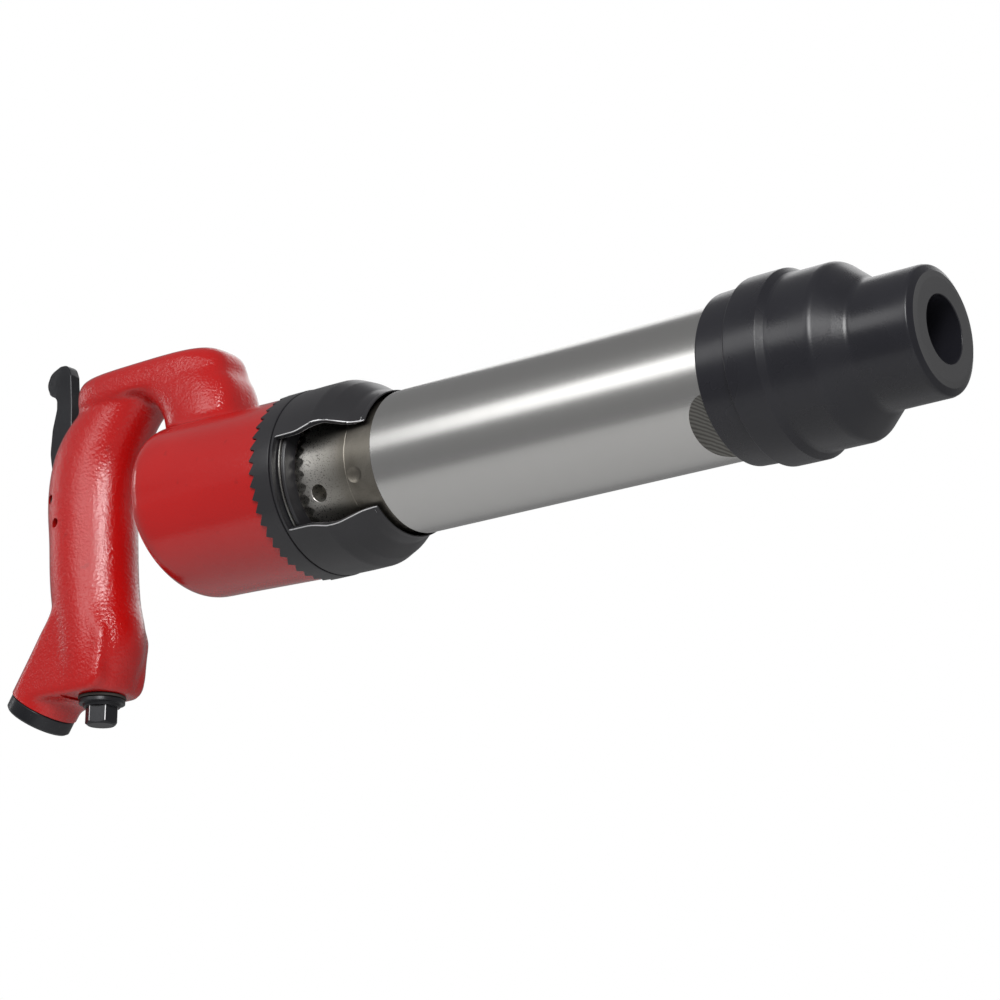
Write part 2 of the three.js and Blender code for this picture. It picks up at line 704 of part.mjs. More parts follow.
function makeWeb() {
  const side = slab(outlineOf(WEB_OUTLINE), WEB.halfWidth, WEB.edge);
  const plan = new THREE.Shape();
  plan.moveTo(-280, -WEB.halfWidth - 1);
  plan.lineTo(-280, WEB.halfWidth + 1);
  plan.lineTo(WEB.rearCentre, WEB.halfWidth);
  plan.absarc(WEB.rearCentre, 0, WEB.halfWidth, Math.PI / 2, 1.5 * Math.PI, false);
  const column = new THREE.ExtrudeGeometry(plan, { depth: 90, bevelEnabled: false, curveSegments: 16 });
  return side.intersect(solid(column));
}

// The round body behind the lock ring. Its back has a rounded edge and leans rearwards at the top.
function makeBody() {
  const arcs = 6;
  const points = [new THREE.Vector2(0, BODY.front), new THREE.Vector2(BODY.r, BODY.front)];
  for (let i = 0; i <= arcs; i += 1) {
    const turn = (i * Math.PI) / 2 / arcs;
    const r = BODY.backR - BODY.edge * (1 - Math.cos(turn));
    points.push(new THREE.Vector2(r, BODY.back + BODY.edge * (1 - Math.sin(turn))));
  }
  points.push(new THREE.Vector2(0, BODY.back));
  const geometry = new THREE.LatheGeometry(points, ROUND).rotateZ(-Math.PI / 2);
  const spots = geometry.attributes.position;
  for (let i = 0; i < spots.count; i += 1) {
    const share = THREE.MathUtils.clamp((spots.getX(i) - BODY.front) / (BODY.back - BODY.front), 0, 1);
    spots.setX(i, spots.getX(i) - share * BODY.backTilt * spots.getZ(i));
  }
  return solid(geometry);
}

// The slanted inlet boss at the bottom of the grip, behind the bushing's head.
const BOSS_SHAPE = [
  [INLET_BUSHING.length + GAP, 0],
  [INLET_BUSHING.length + GAP, INLET.bossR - 0.7],
  [INLET_BUSHING.length + 1.2, INLET.bossR],
  [34, INLET.bossR],
  [44, INLET.bossR - 4],
  [50, 0],
];

// The slot between the cheeks that the lever swings in.
const SLOT_OUTLINE = [
  [-402, 2],
  [-374.5, 2],
  [-374.5, 6.6],
  [-357.8, 6.6],
  [-357.8, 21.5],
  [-375.6, 21.5],
  [-373.8, 30],
  [-370, 44],
  [-367.6, 52],
  [-375.5, 58],
  [-402, 58],
];

// Two cored air ways climb beside the slot, pass along the web and drop into the body.
function makeAirWays() {
  const section = new THREE.Shape();
  section.absarc(0, 0, 2.4, 0, 2 * Math.PI);
  return [-1, 1].map((side) => {
    const path = new THREE.CatmullRomCurve3(
      [
        [-362, 0, -23],
        [-362, 5 * side, -17],
        [-365, 7.6 * side, -6],
        [-367, 7.8 * side, 16],
        [-365, 7.6 * side, 36],
        [-354, 6.5 * side, 53],
        [-340, 6 * side, 57.6],
        [-322, 6 * side, 56],
        [-309, 6 * side, 44],
        [-300, 5.5 * side, 30],
        [-296, 5 * side, 17],
      ].map(([x, y, z]) => new THREE.Vector3(x, y, z)),
    );
    const way = { extrudePath: path, steps: 14, curveSegments: 4, bevelEnabled: false };
    return solid(new THREE.ExtrudeGeometry(section, way));
  });
}

function makeHandle() {
  const casting = joined(
    lofted(GRIP_STATIONS),
    slab(outlineOf(HEEL_OUTLINE), 12.8, 4),
    inletTurned(BOSS_SHAPE),
    makeWeb(),
    makeBody(),
  );
  const bottomTrim = solid(new THREE.BoxGeometry(40, 60, 40).translate(VALVE_X + 12, 0, GRIP_BOTTOM - 20));
  const boreClearance = turned([
    [BODY.front + 1, TEETH.rootR - GAP],
    [FLUTES.back, TEETH.rootR - GAP],
    [FLUTES.back, HANDLE_BORE.r],
    [HANDLE_BORE.back, HANDLE_BORE.r],
    [HANDLE_BORE.back, 0],
    [BODY.front + 1, 0],
  ]);
  const toothGaps = sawTeeth(BODY.front, BODY.r + 2);
  const inletHole = inletTurned([
    [-1, 0],
    [-1, INLET_BUSHING.threadR + GAP],
    [INLET_BUSHING.threadEnd + 2, INLET_BUSHING.threadR + GAP],
    [INLET_BUSHING.threadEnd + 2, 5],
    [36, 5],
    [40, 2],
    [40, 0],
  ]);
  const valveBore = joined(
    barZ(VALVE_BORE_R, -80, SEAT.top + GAP, VALVE_X),
    barZ(PIN_BUSHING.r + GAP, SEAT.top, PIN_BUSHING.top + GAP, VALVE_X),
    barZ(PUSH_PIN.r + GAP, PIN_BUSHING.top, 10, VALVE_X),
  );
  return cut(
    casting,
    bottomTrim,
    boreClearance,
    toothGaps,
    inletHole,
    valveBore,
    slab(outlineOf(SLOT_OUTLINE), SLOT_HALF),
    barY(PIN.r + GAP, 30, PIVOT.x, PIVOT.z),
    barY(PIN.r + GAP, 30, STOP.x, STOP.z),
    ...makeAirWays(),
  );
}
addPiece("handle", makeHandle(), RED_ENAMEL);

export default gun;
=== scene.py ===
"""Looks of a heavy pneumatic rivet gun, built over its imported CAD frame.

Shapes are drawn in millimetres in the gun's own frame: X runs along the barrel axis with 0 at the nose
face and +X out of the nose, +Z is up and Y = 0 is the symmetry plane. They are moved into the row frame,
in metres, when a piece is finished.
"""

import logging
import math
from collections.abc import Callable
from dataclasses import dataclass, field
from enum import Enum

import bmesh
import bpy
from mathutils import Matrix, Vector


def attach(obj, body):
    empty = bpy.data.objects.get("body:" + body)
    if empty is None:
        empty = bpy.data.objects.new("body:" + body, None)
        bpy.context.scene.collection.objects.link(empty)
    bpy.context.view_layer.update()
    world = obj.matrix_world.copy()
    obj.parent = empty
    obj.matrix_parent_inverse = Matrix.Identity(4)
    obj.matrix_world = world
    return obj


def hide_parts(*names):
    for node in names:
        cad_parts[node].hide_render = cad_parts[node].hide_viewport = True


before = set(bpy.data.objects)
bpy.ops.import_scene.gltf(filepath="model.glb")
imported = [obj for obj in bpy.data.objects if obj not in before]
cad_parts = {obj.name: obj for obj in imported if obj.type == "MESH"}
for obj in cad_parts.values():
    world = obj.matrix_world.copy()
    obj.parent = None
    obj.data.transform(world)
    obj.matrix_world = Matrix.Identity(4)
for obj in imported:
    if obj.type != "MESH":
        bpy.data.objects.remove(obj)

log = logging.getLogger("rivet_gun")

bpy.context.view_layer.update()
CENTRE_X = 203.745  # half of the overall length
AXIS_HEIGHT = 73.298  # barrel axis above the flat end of the throttle plug
COLLAR_STEP = -209.0  # where the blasted collar ends and the polished tube begins
TO_ROW = Matrix.Scale(0.001, 4) @ Matrix.Translation((CENTRE_X, 0.0, AXIS_HEIGHT))
ROUND = 144  # sides of a large turned piece
SMALL_ROUND = 64  # sides of a small turned piece

Triple = tuple[float, float, float]
Corner = Triple
Station = tuple[float, float, float, float, float, float]
Material = bpy.types.Material
Node = bpy.types.Node
Object = bpy.types.Object
Socket = bpy.types.NodeSocket
Sockets = bpy.types.bpy_prop_collection
Look = tuple[Socket, Socket, Socket]


class Slot(Enum):
    """Material slots."""

    ENAMEL = "red_enamel"
    OXIDE = "black_oxide"
    SATIN = "black_satin"
    RUBBER = "black_rubber"
    BARREL = "satin_steel"
    STEEL = "hard_steel"
    FIBRE = "fibre"


class Effect(Enum):
    """Node groups shared by the finishes."""

    PEBBLE = "CastPebble"
    SPECKLE = "FineSpeckle"
    LATHE = "LatheMarks"
    WEAR = "HandlingWear"


def linked(name: str, data: bpy.types.ID) -> Object:
    """Adds an object for a mesh, light or camera to the scene and returns it."""
    made = bpy.data.objects.new(name, data)
    bpy.context.scene.collection.objects.link(made)
    return made


# ---- shader node groups


class Graph:
    """A node tree with short calls that add and wire its nodes."""

    def __init__(self, tree: bpy.types.NodeTree) -> None:
        """Wraps a material's, group's or world's node tree."""
        self.tree = tree

    def node(self, kind: str, inputs: dict | None = None, **settings: object) -> Node:
        """Adds a node.

        Args:
            kind: Node type, without its ShaderNode prefix.
            inputs: Socket name or number to a value, or to another node's output socket.
            **settings: Properties set on the node before its inputs.

        Returns:
            The new node.
        """
        made = self.tree.nodes.new("ShaderNode" + kind)
        for name, value in settings.items():
            setattr(made, name, value)
        for name, value in (inputs or {}).items():
            self.feed(made.inputs[name], value)
        return made

    def feed(self, socket: Socket, value: object) -> None:
        """Links an output to a socket, or sets the socket's own value."""
        if isinstance(value, Socket):
            self.tree.links.new(value, socket)
        else:
            socket.default_value = value

    def maths(self, operation: str, first: object, second: object = 0.0) -> Socket:
        """Adds a Math node and returns its output."""
        return self.node("Math", {0: first, 1: second}, operation=operation).outputs[0]

    def times(self, first: object, second: object) -> Socket:
        """Multiplies two values and returns the product."""
        return self.maths("MULTIPLY", first, second)

    def split(self, place: Socket) -> tuple[Socket, ...]:
        """Splits a vector and returns its X, Y and Z."""
        return tuple(self.node("SeparateXYZ", {"Vector": place}).outputs)

    def noise(self, place: Socket, scale: object, detail: float, **more: float) -> Socket:
        """Adds a noise texture and returns its value."""
        return self.node("TexNoise", {"Vector": place, "Scale": scale, "Detail": detail, **more}).outputs["Fac"]

    def ranged(self, value: object, low: float, high: float, start: float = 0.0, end: float = 1.0) -> Socket:
        """Maps a value from low..high to start..end, clamped, and returns the output."""
        inputs = {"Value": value, "From Min": low, "From Max": high, "To Min": start, "To Max": end}
        return self.node("MapRange", inputs).outputs["Result"]

    def mixed(self, share: object, first: object, second: object) -> Socket:
        """Blends two colours by a share and returns the colour."""
        made = self.node("Mix", data_type="RGBA")
        for name, value in {"Factor": share, "A": first, "B": second}.items():
            self.feed(made.inputs[name], value)
        return made.outputs["Result"]

    def effect(self, effect: Effect, place: Socket, **values: float) -> Sockets:
        """Places a shared effect.

        Args:
            effect: Which effect.
            place: Coordinates it reads.
            **values: Input values by name.

        Returns:
            The group's outputs.
        """
        group = bpy.data.node_groups[effect.value]
        return self.node("Group", {"Vector": place, **values}, node_tree=group).outputs


def _group(effect: Effect, inputs: dict[str, float], outputs: list[str]) -> tuple[Graph, Sockets, Sockets]:
    """Starts a node group with a Vector input, named float inputs and named float outputs.

    Args:
        effect: Which effect the group makes.
        inputs: Input names and their defaults.
        outputs: Output names.

    Returns:
        The graph, what the group is given and what it gives.
    """
    tree = bpy.data.node_groups.new(effect.value, "ShaderNodeTree")
    tree.interface.new_socket(name="Vector", in_out="INPUT", socket_type="NodeSocketVector")
    for name, value in inputs.items():
        made = tree.interface.new_socket(name=name, in_out="INPUT", socket_type="NodeSocketFloat")
        made.default_value = value
    for name in outputs:
        tree.interface.new_socket(name=name, in_out="OUTPUT", socket_type="NodeSocketFloat")
    return Graph(tree), tree.nodes.new("NodeGroupInput").outputs, tree.nodes.new("NodeGroupOutput").inputs


def make_pebble() -> None:
    """Lumpy skin of a painted sand casting: small pebbles with grit on them, over slow swells."""
    graph, given, made = _group(Effect.PEBBLE, {"Scale": 600.0, "Swell": 70.0}, ["Height"])
    place, scale = given["Vector"], given["Scale"]
    pebbles = graph.node("TexVoronoi", {"Vector": place, "Scale": scale, "Smoothness": 0.7}, feature="SMOOTH_F1")
    grit = graph.noise(place, graph.times(scale, 1.7), 3.0, Roughness=0.6)
    lumps = graph.maths("ADD", graph.times(pebbles.outputs["Distance"], -0.7), grit)
    swell = graph.noise(place, given["Swell"], 2.0)
    graph.feed(made["Height"], graph.maths("ADD", lumps, graph.times(swell, 2.2)))


def make_speckle() -> None:
    """Fine even grain of a blasted, phosphated or moulded surface, with a few darker specks."""
    graph, given, made = _group(Effect.SPECKLE, {"Scale": 2500.0, "Amount": 0.5}, ["Height", "Specks"])
    place, scale = given["Vector"], given["Scale"]
    graph.feed(made["Height"], graph.noise(place, scale, 4.0, Roughness=0.65))
    specks = graph.noise(place, graph.times(scale, 0.45), 2.0)
    edge = graph.maths("SUBTRACT", 0.78, graph.times(given["Amount"], 0.3))
    above = graph.times(graph.maths("SUBTRACT", specks, edge), 9.0)
    graph.feed(made["Specks"], graph.ranged(above, 0.0, 1.0))


def make_lathe() -> None:
    """Turning marks: fine rings that follow the barrel axis, a little uneven round the turn."""
    graph, given, made = _group(Effect.LATHE, {"Rings": 2600.0, "Unevenness": 30.0}, ["Height", "Bands"])
    x, y, z = graph.split(given["Vector"])
    uneven = given["Unevenness"]
    turned = {"X": graph.times(x, given["Rings"]), "Y": graph.times(y, uneven), "Z": graph.times(z, uneven)}
    stretched = graph.node("CombineXYZ", turned).outputs["Vector"]
    graph.feed(made["Height"], graph.noise(stretched, 1.0, 2.0))
    graph.feed(made["Bands"], graph.noise(stretched, 0.12, 1.0))


def make_wear() -> None:
    """Broad soft patches where hands and benches have changed the gloss, and a scatter of small marks."""
    graph, given, made = _group(Effect.WEAR, {"Patch": 35.0, "Marks": 300.0}, ["Patches", "Marks"])
    broad = graph.noise(given["Vector"], given["Patch"], 4.0, Distortion=0.4)
    small = graph.noise(given["Vector"], given["Marks"], 5.0)
    graph.feed(made["Patches"], graph.ranged(broad, 0.35, 0.65))
    graph.feed(made["Marks"], graph.ranged(small, 0.66, 0.74))


# ---- finishes


@dataclass(frozen=True)
class Finish:
    """What every finish has: a name, its colours and its gloss.

    Attributes:
        name: Material name.
        base: Main colour, linear.
        other: Colour of its patches, specks or marks, linear.
        roughness: Roughness where it is shiniest.
        spread: How much rougher it gets in its dull patches.
        metallic: 1 for bare metal.
        bump: Height of its relief, in metres.
    """

    name: str
    base: Triple
    other: Triple
    roughness: float
    spread: float
    metallic: float
    bump: float

    def build(self) -> Material:
        """Makes the material: its Principled shader, fed by what the finish paints on Object coordinates.

        Returns:
            The material.
        """
        material = bpy.data.materials.new(self.name)
        material.use_nodes = True
        material.node_tree.nodes.clear()
        graph = Graph(material.node_tree)
        shader = graph.node("BsdfPrincipled", {"Metallic": self.metallic})
        graph.node("OutputMaterial", {"Surface": shader.outputs["BSDF"]})
        colour, rough, height = self.paint(graph, shader.inputs, graph.node("TexCoord").outputs["Object"])
        bump = graph.node("Bump", {"Strength": 1.0, "Distance": self.bump, "Height": height}).outputs["Normal"]
        for name, value in {"Base Color": colour, "Roughness": rough, "Normal": bump, "Coat Normal": bump}.items():
            graph.feed(shader.inputs[name], value)
        return material

    def colours(self) -> tuple[tuple[float, ...], tuple[float, ...]]:
        """Both colours with an alpha of one."""
        return (*self.base, 1.0), (*self.other, 1.0)

    def gloss(self, graph: Graph, wear: Sockets) -> Socket:
        """Roughness that rises in the dull patches."""
        return graph.maths("ADD", graph.times(wear["Patches"], self.spread), self.roughness)


@dataclass(frozen=True)
class CastEnamel(Finish):
    """Glossy enamel over a casting that is pebbly on its grip and web and smoother on its round body.

    Attributes:
        pebble: Pebbles per metre.
        smooth_from: X in the row frame, in metres, ahead of which the skin is smoother.
        smooth_under: Z in the row frame, in metres, under which it is smoother.
        smoothest: Share of the relief left there.
        grime: Colour of its small marks, linear.
    """

    pebble: float = 800.0
    smooth_from: float = (CENTRE_X - 322.0) / 1000
    smooth_under: float = (AXIS_HEIGHT + 30.0) / 1000
    smoothest: float = 0.3
    grime: Triple = (0.2, 0.004, 0.004)

    def paint(self, graph: Graph, shader: Sockets, place: Socket) -> Look:
        """Returns the colour, the roughness and the relief, and sets the coat."""
        wear = graph.effect(Effect.WEAR, place, Patch=28.0, Marks=260.0)
        tone = graph.mixed(graph.times(wear["Patches"], 0.45), *self.colours())
        colour = graph.mixed(graph.times(wear["Marks"], 0.25), tone, (*self.grime, 1.0))
        for name, value in {"Coat Weight": 0.4, "Coat Roughness": 0.07, "IOR": 1.52}.items():
            graph.feed(shader[name], value)
        x, _, z = graph.split(place)
        behind = graph.ranged(x, self.smooth_from, self.smooth_from - 0.02)
        above = graph.ranged(z, self.smooth_under, self.smooth_under + 0.012)
        coarse = graph.ranged(graph.maths("MAXIMUM", behind, above), 0.0, 1.0, self.smoothest, 1.0)
        pebble = graph.effect(Effect.PEBBLE, place, Scale=self.pebble, Swell=60.0)
        return colour, self.gloss(graph, wear), graph.times(pebble["Height"], coarse)


@dataclass(frozen=True)
class TurnedSteel(Finish):
    """Steel turned and polished on the lathe, with an optional blasted stretch behind a station.

    Attributes:
        blast_from: X in the row frame, in metres, behind which the surface is blasted. None for no blast.
        matt: Two linear colours of the blasted stretch.
        painted_light: Linear colour of the painted light on its rear end, a lighter tone standing in for light that
            falls there.
        freckle: Linear colour of its freckles.
    """

    blast_from: float | None = None
    matt: tuple[Triple, Triple] = ((0.17, 0.155, 0.13), (0.33, 0.31, 0.27))
    painted_light: Triple = (0.72, 0.7, 0.66)
    freckle: Triple = (0.05, 0.044, 0.036)

    def paint(self, graph: Graph, shader: Sockets, place: Socket) -> Look:
        """Returns the colour, the roughness and the relief."""
        lathe = graph.effect(Effect.LATHE, place, Rings=3200.0, Unevenness=18.0)
        wear = graph.effect(Effect.WEAR, place, Patch=45.0, Marks=420.0)
        polished = graph.mixed(graph.times(lathe["Bands"], 0.25), *self.colours())
        smooth, height = self.gloss(graph, wear), graph.times(lathe["Height"], 0.35)
        if self.blast_from is None:
            return polished, smooth, height
        grain = graph.effect(Effect.SPECKLE, place, Scale=4200.0, Amount=0.72)
        along = graph.split(place)[0]
        blasted = graph.maths("LESS_THAN", along, self.blast_from)
        rear = graph.ranged(along, self.blast_from - 0.014, self.blast_from - 0.03)
        dull = graph.mixed(wear["Patches"], *((*colour, 1.0) for colour in self.matt))
        # Painted light: the blasted collar's rear end is mixed towards a light tone in place of the light that falls
        # beside the flutes.
        dull = graph.mixed(graph.times(rear, 0.9), dull, (*self.painted_light, 1.0))
        dotted = graph.times(grain["Specks"], graph.ranged(rear, 0.0, 0.6, 0.15, 0.8))
        freckled = graph.mixed(dotted, dull, (*self.freckle, 1.0))
        rough = graph.maths("ADD", smooth, graph.times(blasted, 0.16))
        grit = graph.times(graph.times(grain["Height"], blasted), 4.0)
        return graph.mixed(blasted, polished, freckled), rough, graph.maths("ADD", height, grit)


@dataclass(frozen=True)
class MilledSteel(Finish):
    """Slanted cutter marks on a milled flat."""

    marks: float = 260.0

    def paint(self, graph: Graph, shader: Sockets, place: Socket) -> Look:
        """Returns the colour, the roughness and the relief."""
        turned = graph.node("Mapping", {"Vector": place, "Rotation": (0.0, 0.55, 0.35)}).outputs["Vector"]
        inputs = {"Vector": turned, "Scale": self.marks, "Distortion": 1.4, "Detail": 2.0, "Detail Scale": 2.0}
        marks = graph.node("TexWave", inputs, bands_direction="X").outputs["Fac"]
        rough = graph.ranged(marks, 0.0, 1.0, self.roughness, self.roughness + self.spread)
        return graph.mixed(marks, *self.colours()), rough, marks


@dataclass(frozen=True)
class DarkCoat(Finish):
    """Black satin paint, black oxide, moulded rubber or pressed fibre: a fine grain with soft handling wear.

    Attributes:
        grain: Grain scale per metre.
        specks: How many lighter specks it has, 0 to 1.
        sheen: Sheen weight.
    """

    grain: float = 2200.0
    specks: float = 0.4
    sheen: float = 0.0

    def paint(self, graph: Graph, shader: Sockets, place: Socket) -> Look:
        """Returns the colour, the roughness and the relief, and sets the sheen."""
        base, other = self.colours()
        grain = graph.effect(Effect.SPECKLE, place, Scale=self.grain, Amount=self.specks)
        wear = graph.effect(Effect.WEAR, place, Patch=40.0, Marks=500.0)
        patchy = graph.mixed(graph.times(wear["Patches"], 0.3), base, other)
        marked = graph.times(graph.maths("MAXIMUM", grain["Specks"], wear["Marks"]), 0.5)
        graph.feed(shader["Sheen Weight"], self.sheen)
        return graph.mixed(marked, patchy, other), self.gloss(graph, wear), grain["Height"]


@dataclass(frozen=True)
class Finishes:
    """All the gun's materials, built once."""

    enamel: Material
    barrel: Material
    milled: Material
    steel: Material
    satin: Material
    oxide: Material
    brown: Material
    worn_and_painted_highlight: Material
    rubber: Material
    moulded: Material
    bronze: Material
    fibre: Material

    @staticmethod
    def make() -> "Finishes":
        """Builds the node groups and every material, and returns the set."""
        for make_group in (make_pebble, make_speckle, make_lathe, make_wear):
            make_group()
        blast = (CENTRE_X + COLLAR_STEP) / 1000
        fine = 0.000006
        made = {
            "enamel": CastEnamel("RedEnamel", (0.52, 0.0065, 0.006), (0.46, 0.005, 0.005), 0.13, 0.05, 0.0, 0.00015),
            "barrel": TurnedSteel("SatinSteel", (0.62, 0.615, 0.6), (0.54, 0.53, 0.51), 0.26, 0.012, 1.0, fine, blast),
            "milled": MilledSteel("MilledSteel", (0.10, 0.098, 0.09), (0.22, 0.215, 0.2), 0.36, 0.15, 1.0, 0.00004),
            "steel": TurnedSteel("GroundSteel", (0.5, 0.49, 0.47), (0.4, 0.39, 0.37), 0.22, 0.1, 1.0, fine),
            "satin": DarkCoat("BlackSatin", (0.023, 0.0225, 0.025), (0.034, 0.033, 0.036), 0.3, 0.06, 0.0, 0.00001),
            "oxide": DarkCoat("BlackOxide", (0.014, 0.015, 0.018), (0.05, 0.05, 0.055), 0.26, 0.12, 0.3, 0.00002),
            "brown": DarkCoat("BrownedSteel", (0.03, 0.012, 0.01), (0.06, 0.02, 0.015), 0.4, 0.1, 0.5, 0.00002),
            # Edge finish: partly bare-metal wear, partly a painted highlight, made very light so the bevels show a
            # bright line.
            "worn_and_painted_highlight": TurnedSteel("WornEdgeAndPaintedHighlight", (0.8, 0.8, 0.81), (0.6, 0.6, 0.61), 0.5, 0.1, 1.0, fine),
            "rubber": DarkCoat("BlackRubber", (0.013, 0.013, 0.0175), (0.022, 0.022, 0.028), 0.25, 0.08, 0.0, 0.00002,
                               1700.0, 0.2, 0.02),
            # Boot front face: matt moulded rubber, painted a far lighter grey as painted light for the light it faces.
            "moulded": DarkCoat("RubberFacePaintedLight", (0.08, 0.08, 0.082), (0.1, 0.1, 0.102), 0.6, 0.1, 0.0, 0.00004, 1700.0,
                                0.2),
            "bronze": TurnedSteel("Bronze", (0.58, 0.38, 0.16), (0.45, 0.28, 0.1), 0.28, 0.1, 1.0, fine),
            "fibre": DarkCoat("Fibre", (0.05, 0.045, 0.04), (0.1, 0.09, 0.08), 0.75, 0.1, 0.0, 0.00003, 1500.0, 0.7),
        }
        return Finishes(**{name: finish.build() for name, finish in made.items()})


# ---- shaping


def rounded(corners: list[Corner], steps: int = 6) -> list[Vector]:
    """Rounds the corners of a closed outline.

    Args:
        corners: (first, second, radius) of each corner. A radius of 0 leaves it sharp.
        steps: Segments of each rounded corner.

    Returns:
        The outline's points.
    """
    spots: list[Vector] = []
    for i, (first, second, radius) in enumerate(corners):
        here = Vector((first, second))
        back = Vector(corners[i - 1][:2]) - here
        ahead = Vector(corners[(i + 1) % len(corners)][:2]) - here
        if radius <= 0 or back.length < 1e-6 or ahead.length < 1e-6:
            spots.append(here)
            continue
        reach = min(radius / math.tan(back.angle(ahead) / 2), 0.48 * back.length, 0.48 * ahead.length)
        start = here + back.normalized() * reach
        end = here + ahead.normalized() * reach
        weight = math.sin(back.angle(ahead) / 2)  # makes the curve a true arc
        for step in range(steps + 1):
            t = step / steps
            blend = ((1 - t) ** 2, 2 * t * (1 - t) * weight, t * t)
            spots.append((blend[0] * start + blend[1] * here + blend[2] * end) / sum(blend))
    return spots


class Shape:
    """A solid being worked on, in millimetres in the gun's frame."""

    def __init__(self, mesh: bmesh.types.BMesh | None = None) -> None:
        """Wraps a bmesh, or starts an empty one."""
        self.bm = mesh or bmesh.new()

    @staticmethod
    def spun(corners: list[Corner], sides: int = ROUND, steps: int = 6, turn: float = 360.0,
             start: float = 0.0) -> "Shape":
        """Spins a closed outline of (x, radius, rounding) about the X axis.

        Args:
            corners: The outline's corners.
            sides: Steps of the spin.
            steps: Segments of each rounded corner.
            turn: Degrees spun. Less than a full turn leaves two flat ends.
            start: Angle of the outline, in degrees from -Y towards +Z.

        Returns:
            The closed solid.
        """
        bm = bmesh.new()
        verts = [bm.verts.new((spot.x, -spot.y, 0.0)) for spot in rounded(corners, steps)]
        edges = [bm.edges.new((a, b)) for a, b in zip(verts, verts[1:] + verts[:1])]
        full = turn >= 360.0
        bmesh.ops.transform(bm, matrix=angled(start), verts=verts)
        wire = verts + edges if full else [*verts, *edges, bm.faces.new(verts)]
        bmesh.ops.spin(bm, geom=wire, cent=(0, 0, 0), axis=(-1, 0, 0), angle=math.radians(turn), steps=sides,
                       use_merge=full)
        bmesh.ops.remove_doubles(bm, verts=bm.verts, dist=1e-4)
        bmesh.ops.dissolve_degenerate(bm, edges=bm.edges, dist=1e-5)
        bmesh.ops.recalc_face_normals(bm, faces=bm.faces)
        return Shape(bm)

    @staticmethod
    def skinned(rings: list[list[Vector]], closed: bool = False) -> "Shape":
        """Bridges rings of equal length one after another.

        Args:
            rings: Each ring's points in order.
            closed: Whether the last ring joins the first. Otherwise both ends are capped.

        Returns:
            The closed solid.
        """
        bm = bmesh.new()
        loops: list[list[bmesh.types.BMEdge]] = []
        for ring in rings:
            verts = bmesh.ops.create_circle(bm, segments=len(ring), radius=1.0)["verts"]
            for vert, spot in zip(verts, ring):
                vert.co = spot
            loops.append(list({edge for vert in verts for edge in vert.link_edges}))
        pairs = list(zip(loops, loops[1:] + loops[:1])) if closed else list(zip(loops, loops[1:]))
        for one, other in pairs:
            bmesh.ops.bridge_loops(bm, edges=one + other)
        for end in () if closed else (loops[0], loops[-1]):
            bmesh.ops.contextual_create(bm, geom=end)
        bmesh.ops.recalc_face_normals(bm, faces=bm.faces)
        return Shape(bm)

    @staticmethod
    def lofted(stations: list[Station], rows: int = 60, sides: int = 64) -> "Shape":
        """Stacks rounded sections up Z, smoothly between stations.

        Args:
            stations: (z, centre x, half chord, half width, squareness behind, squareness in front) of each.
            rows: Sections in the finished loft.
            sides: Points round each section.

        Returns:
            The closed solid.
        """
        def blend(at: float) -> list[float]:
            """Reads the station values at a share of the way, by a Catmull-Rom curve."""
            spot = at * (len(stations) - 1)
            i = min(int(spot), len(stations) - 2)
            t = spot - i
            p = [stations[max(0, min(len(stations) - 1, i + k))] for k in (-1, 0, 1, 2)]
            return [
                0.5 * (2 * b + (c - a) * t + (2 * a - 5 * b + 4 * c - d) * t * t + (3 * b - a - 3 * c + d) * t**3)
                for a, b, c, d in zip(*p)
            ]

        rings = []
        for row in range(rows + 1):
            z, x, chord, width, rear, front = blend(row / rows)
            ring = []
            for i in range(sides):
                turn = 2 * math.pi * i / sides
                u, v = math.cos(turn), math.sin(turn)
                square = front if u > 0 else rear
                u = math.copysign(abs(u) ** (2 / square), u)
                v = math.copysign(abs(v) ** (2 / square), v)
                ring.append(Vector((x + chord * u, width * v, z)))
            rings.append(ring)
        return Shape.skinned(rings)

    @staticmethod
    def slab(corners: list[Corner], half: float, edge: float = 0.0, segments: int = 2, steps: int = 6) -> "Shape":
        """Extrudes an outline in the XZ plane evenly to both sides.

        Args:
            corners: (x, z, rounding) of each corner.
            half: Half of the thickness.
            edge: Bevel round both faces.
            segments: Bevel segments.
            steps: Segments of each rounded corner.

        Returns:
            The closed solid.
        """
        bm = bmesh.new()
        face = bm.faces.new([bm.verts.new((spot.x, -half, spot.y)) for spot in rounded(corners, steps)])
        made = bmesh.ops.extrude_face_region(bm, geom=[face])["geom"]
        moved = [item for item in made if isinstance(item, bmesh.types.BMVert)]
        bmesh.ops.translate(bm, verts=moved, vec=(0.0, 2 * half, 0.0))
        bmesh.ops.recalc_face_normals(bm, faces=bm.faces)
        shape = Shape(bm)
        if edge:
            sides = [(e, e.verts[0].co.y, e.verts[1].co.y) for e in bm.edges]
            rims = [e for e, one, other in sides if abs(abs(one) - half) < 1e-4 and abs(one - other) < 1e-4]
            shape.bevel(rims, edge, segments)
        return shape

    @staticmethod
    def bar(radius: float, back: float, front: float, sides: int = SMALL_ROUND, edge: float = 0.0) -> "Shape":
        """A round bar along X."""
        return Shape.spun([(back, 0, 0), (back, radius, edge), (front, radius, edge), (front, 0, 0)], sides, 3)

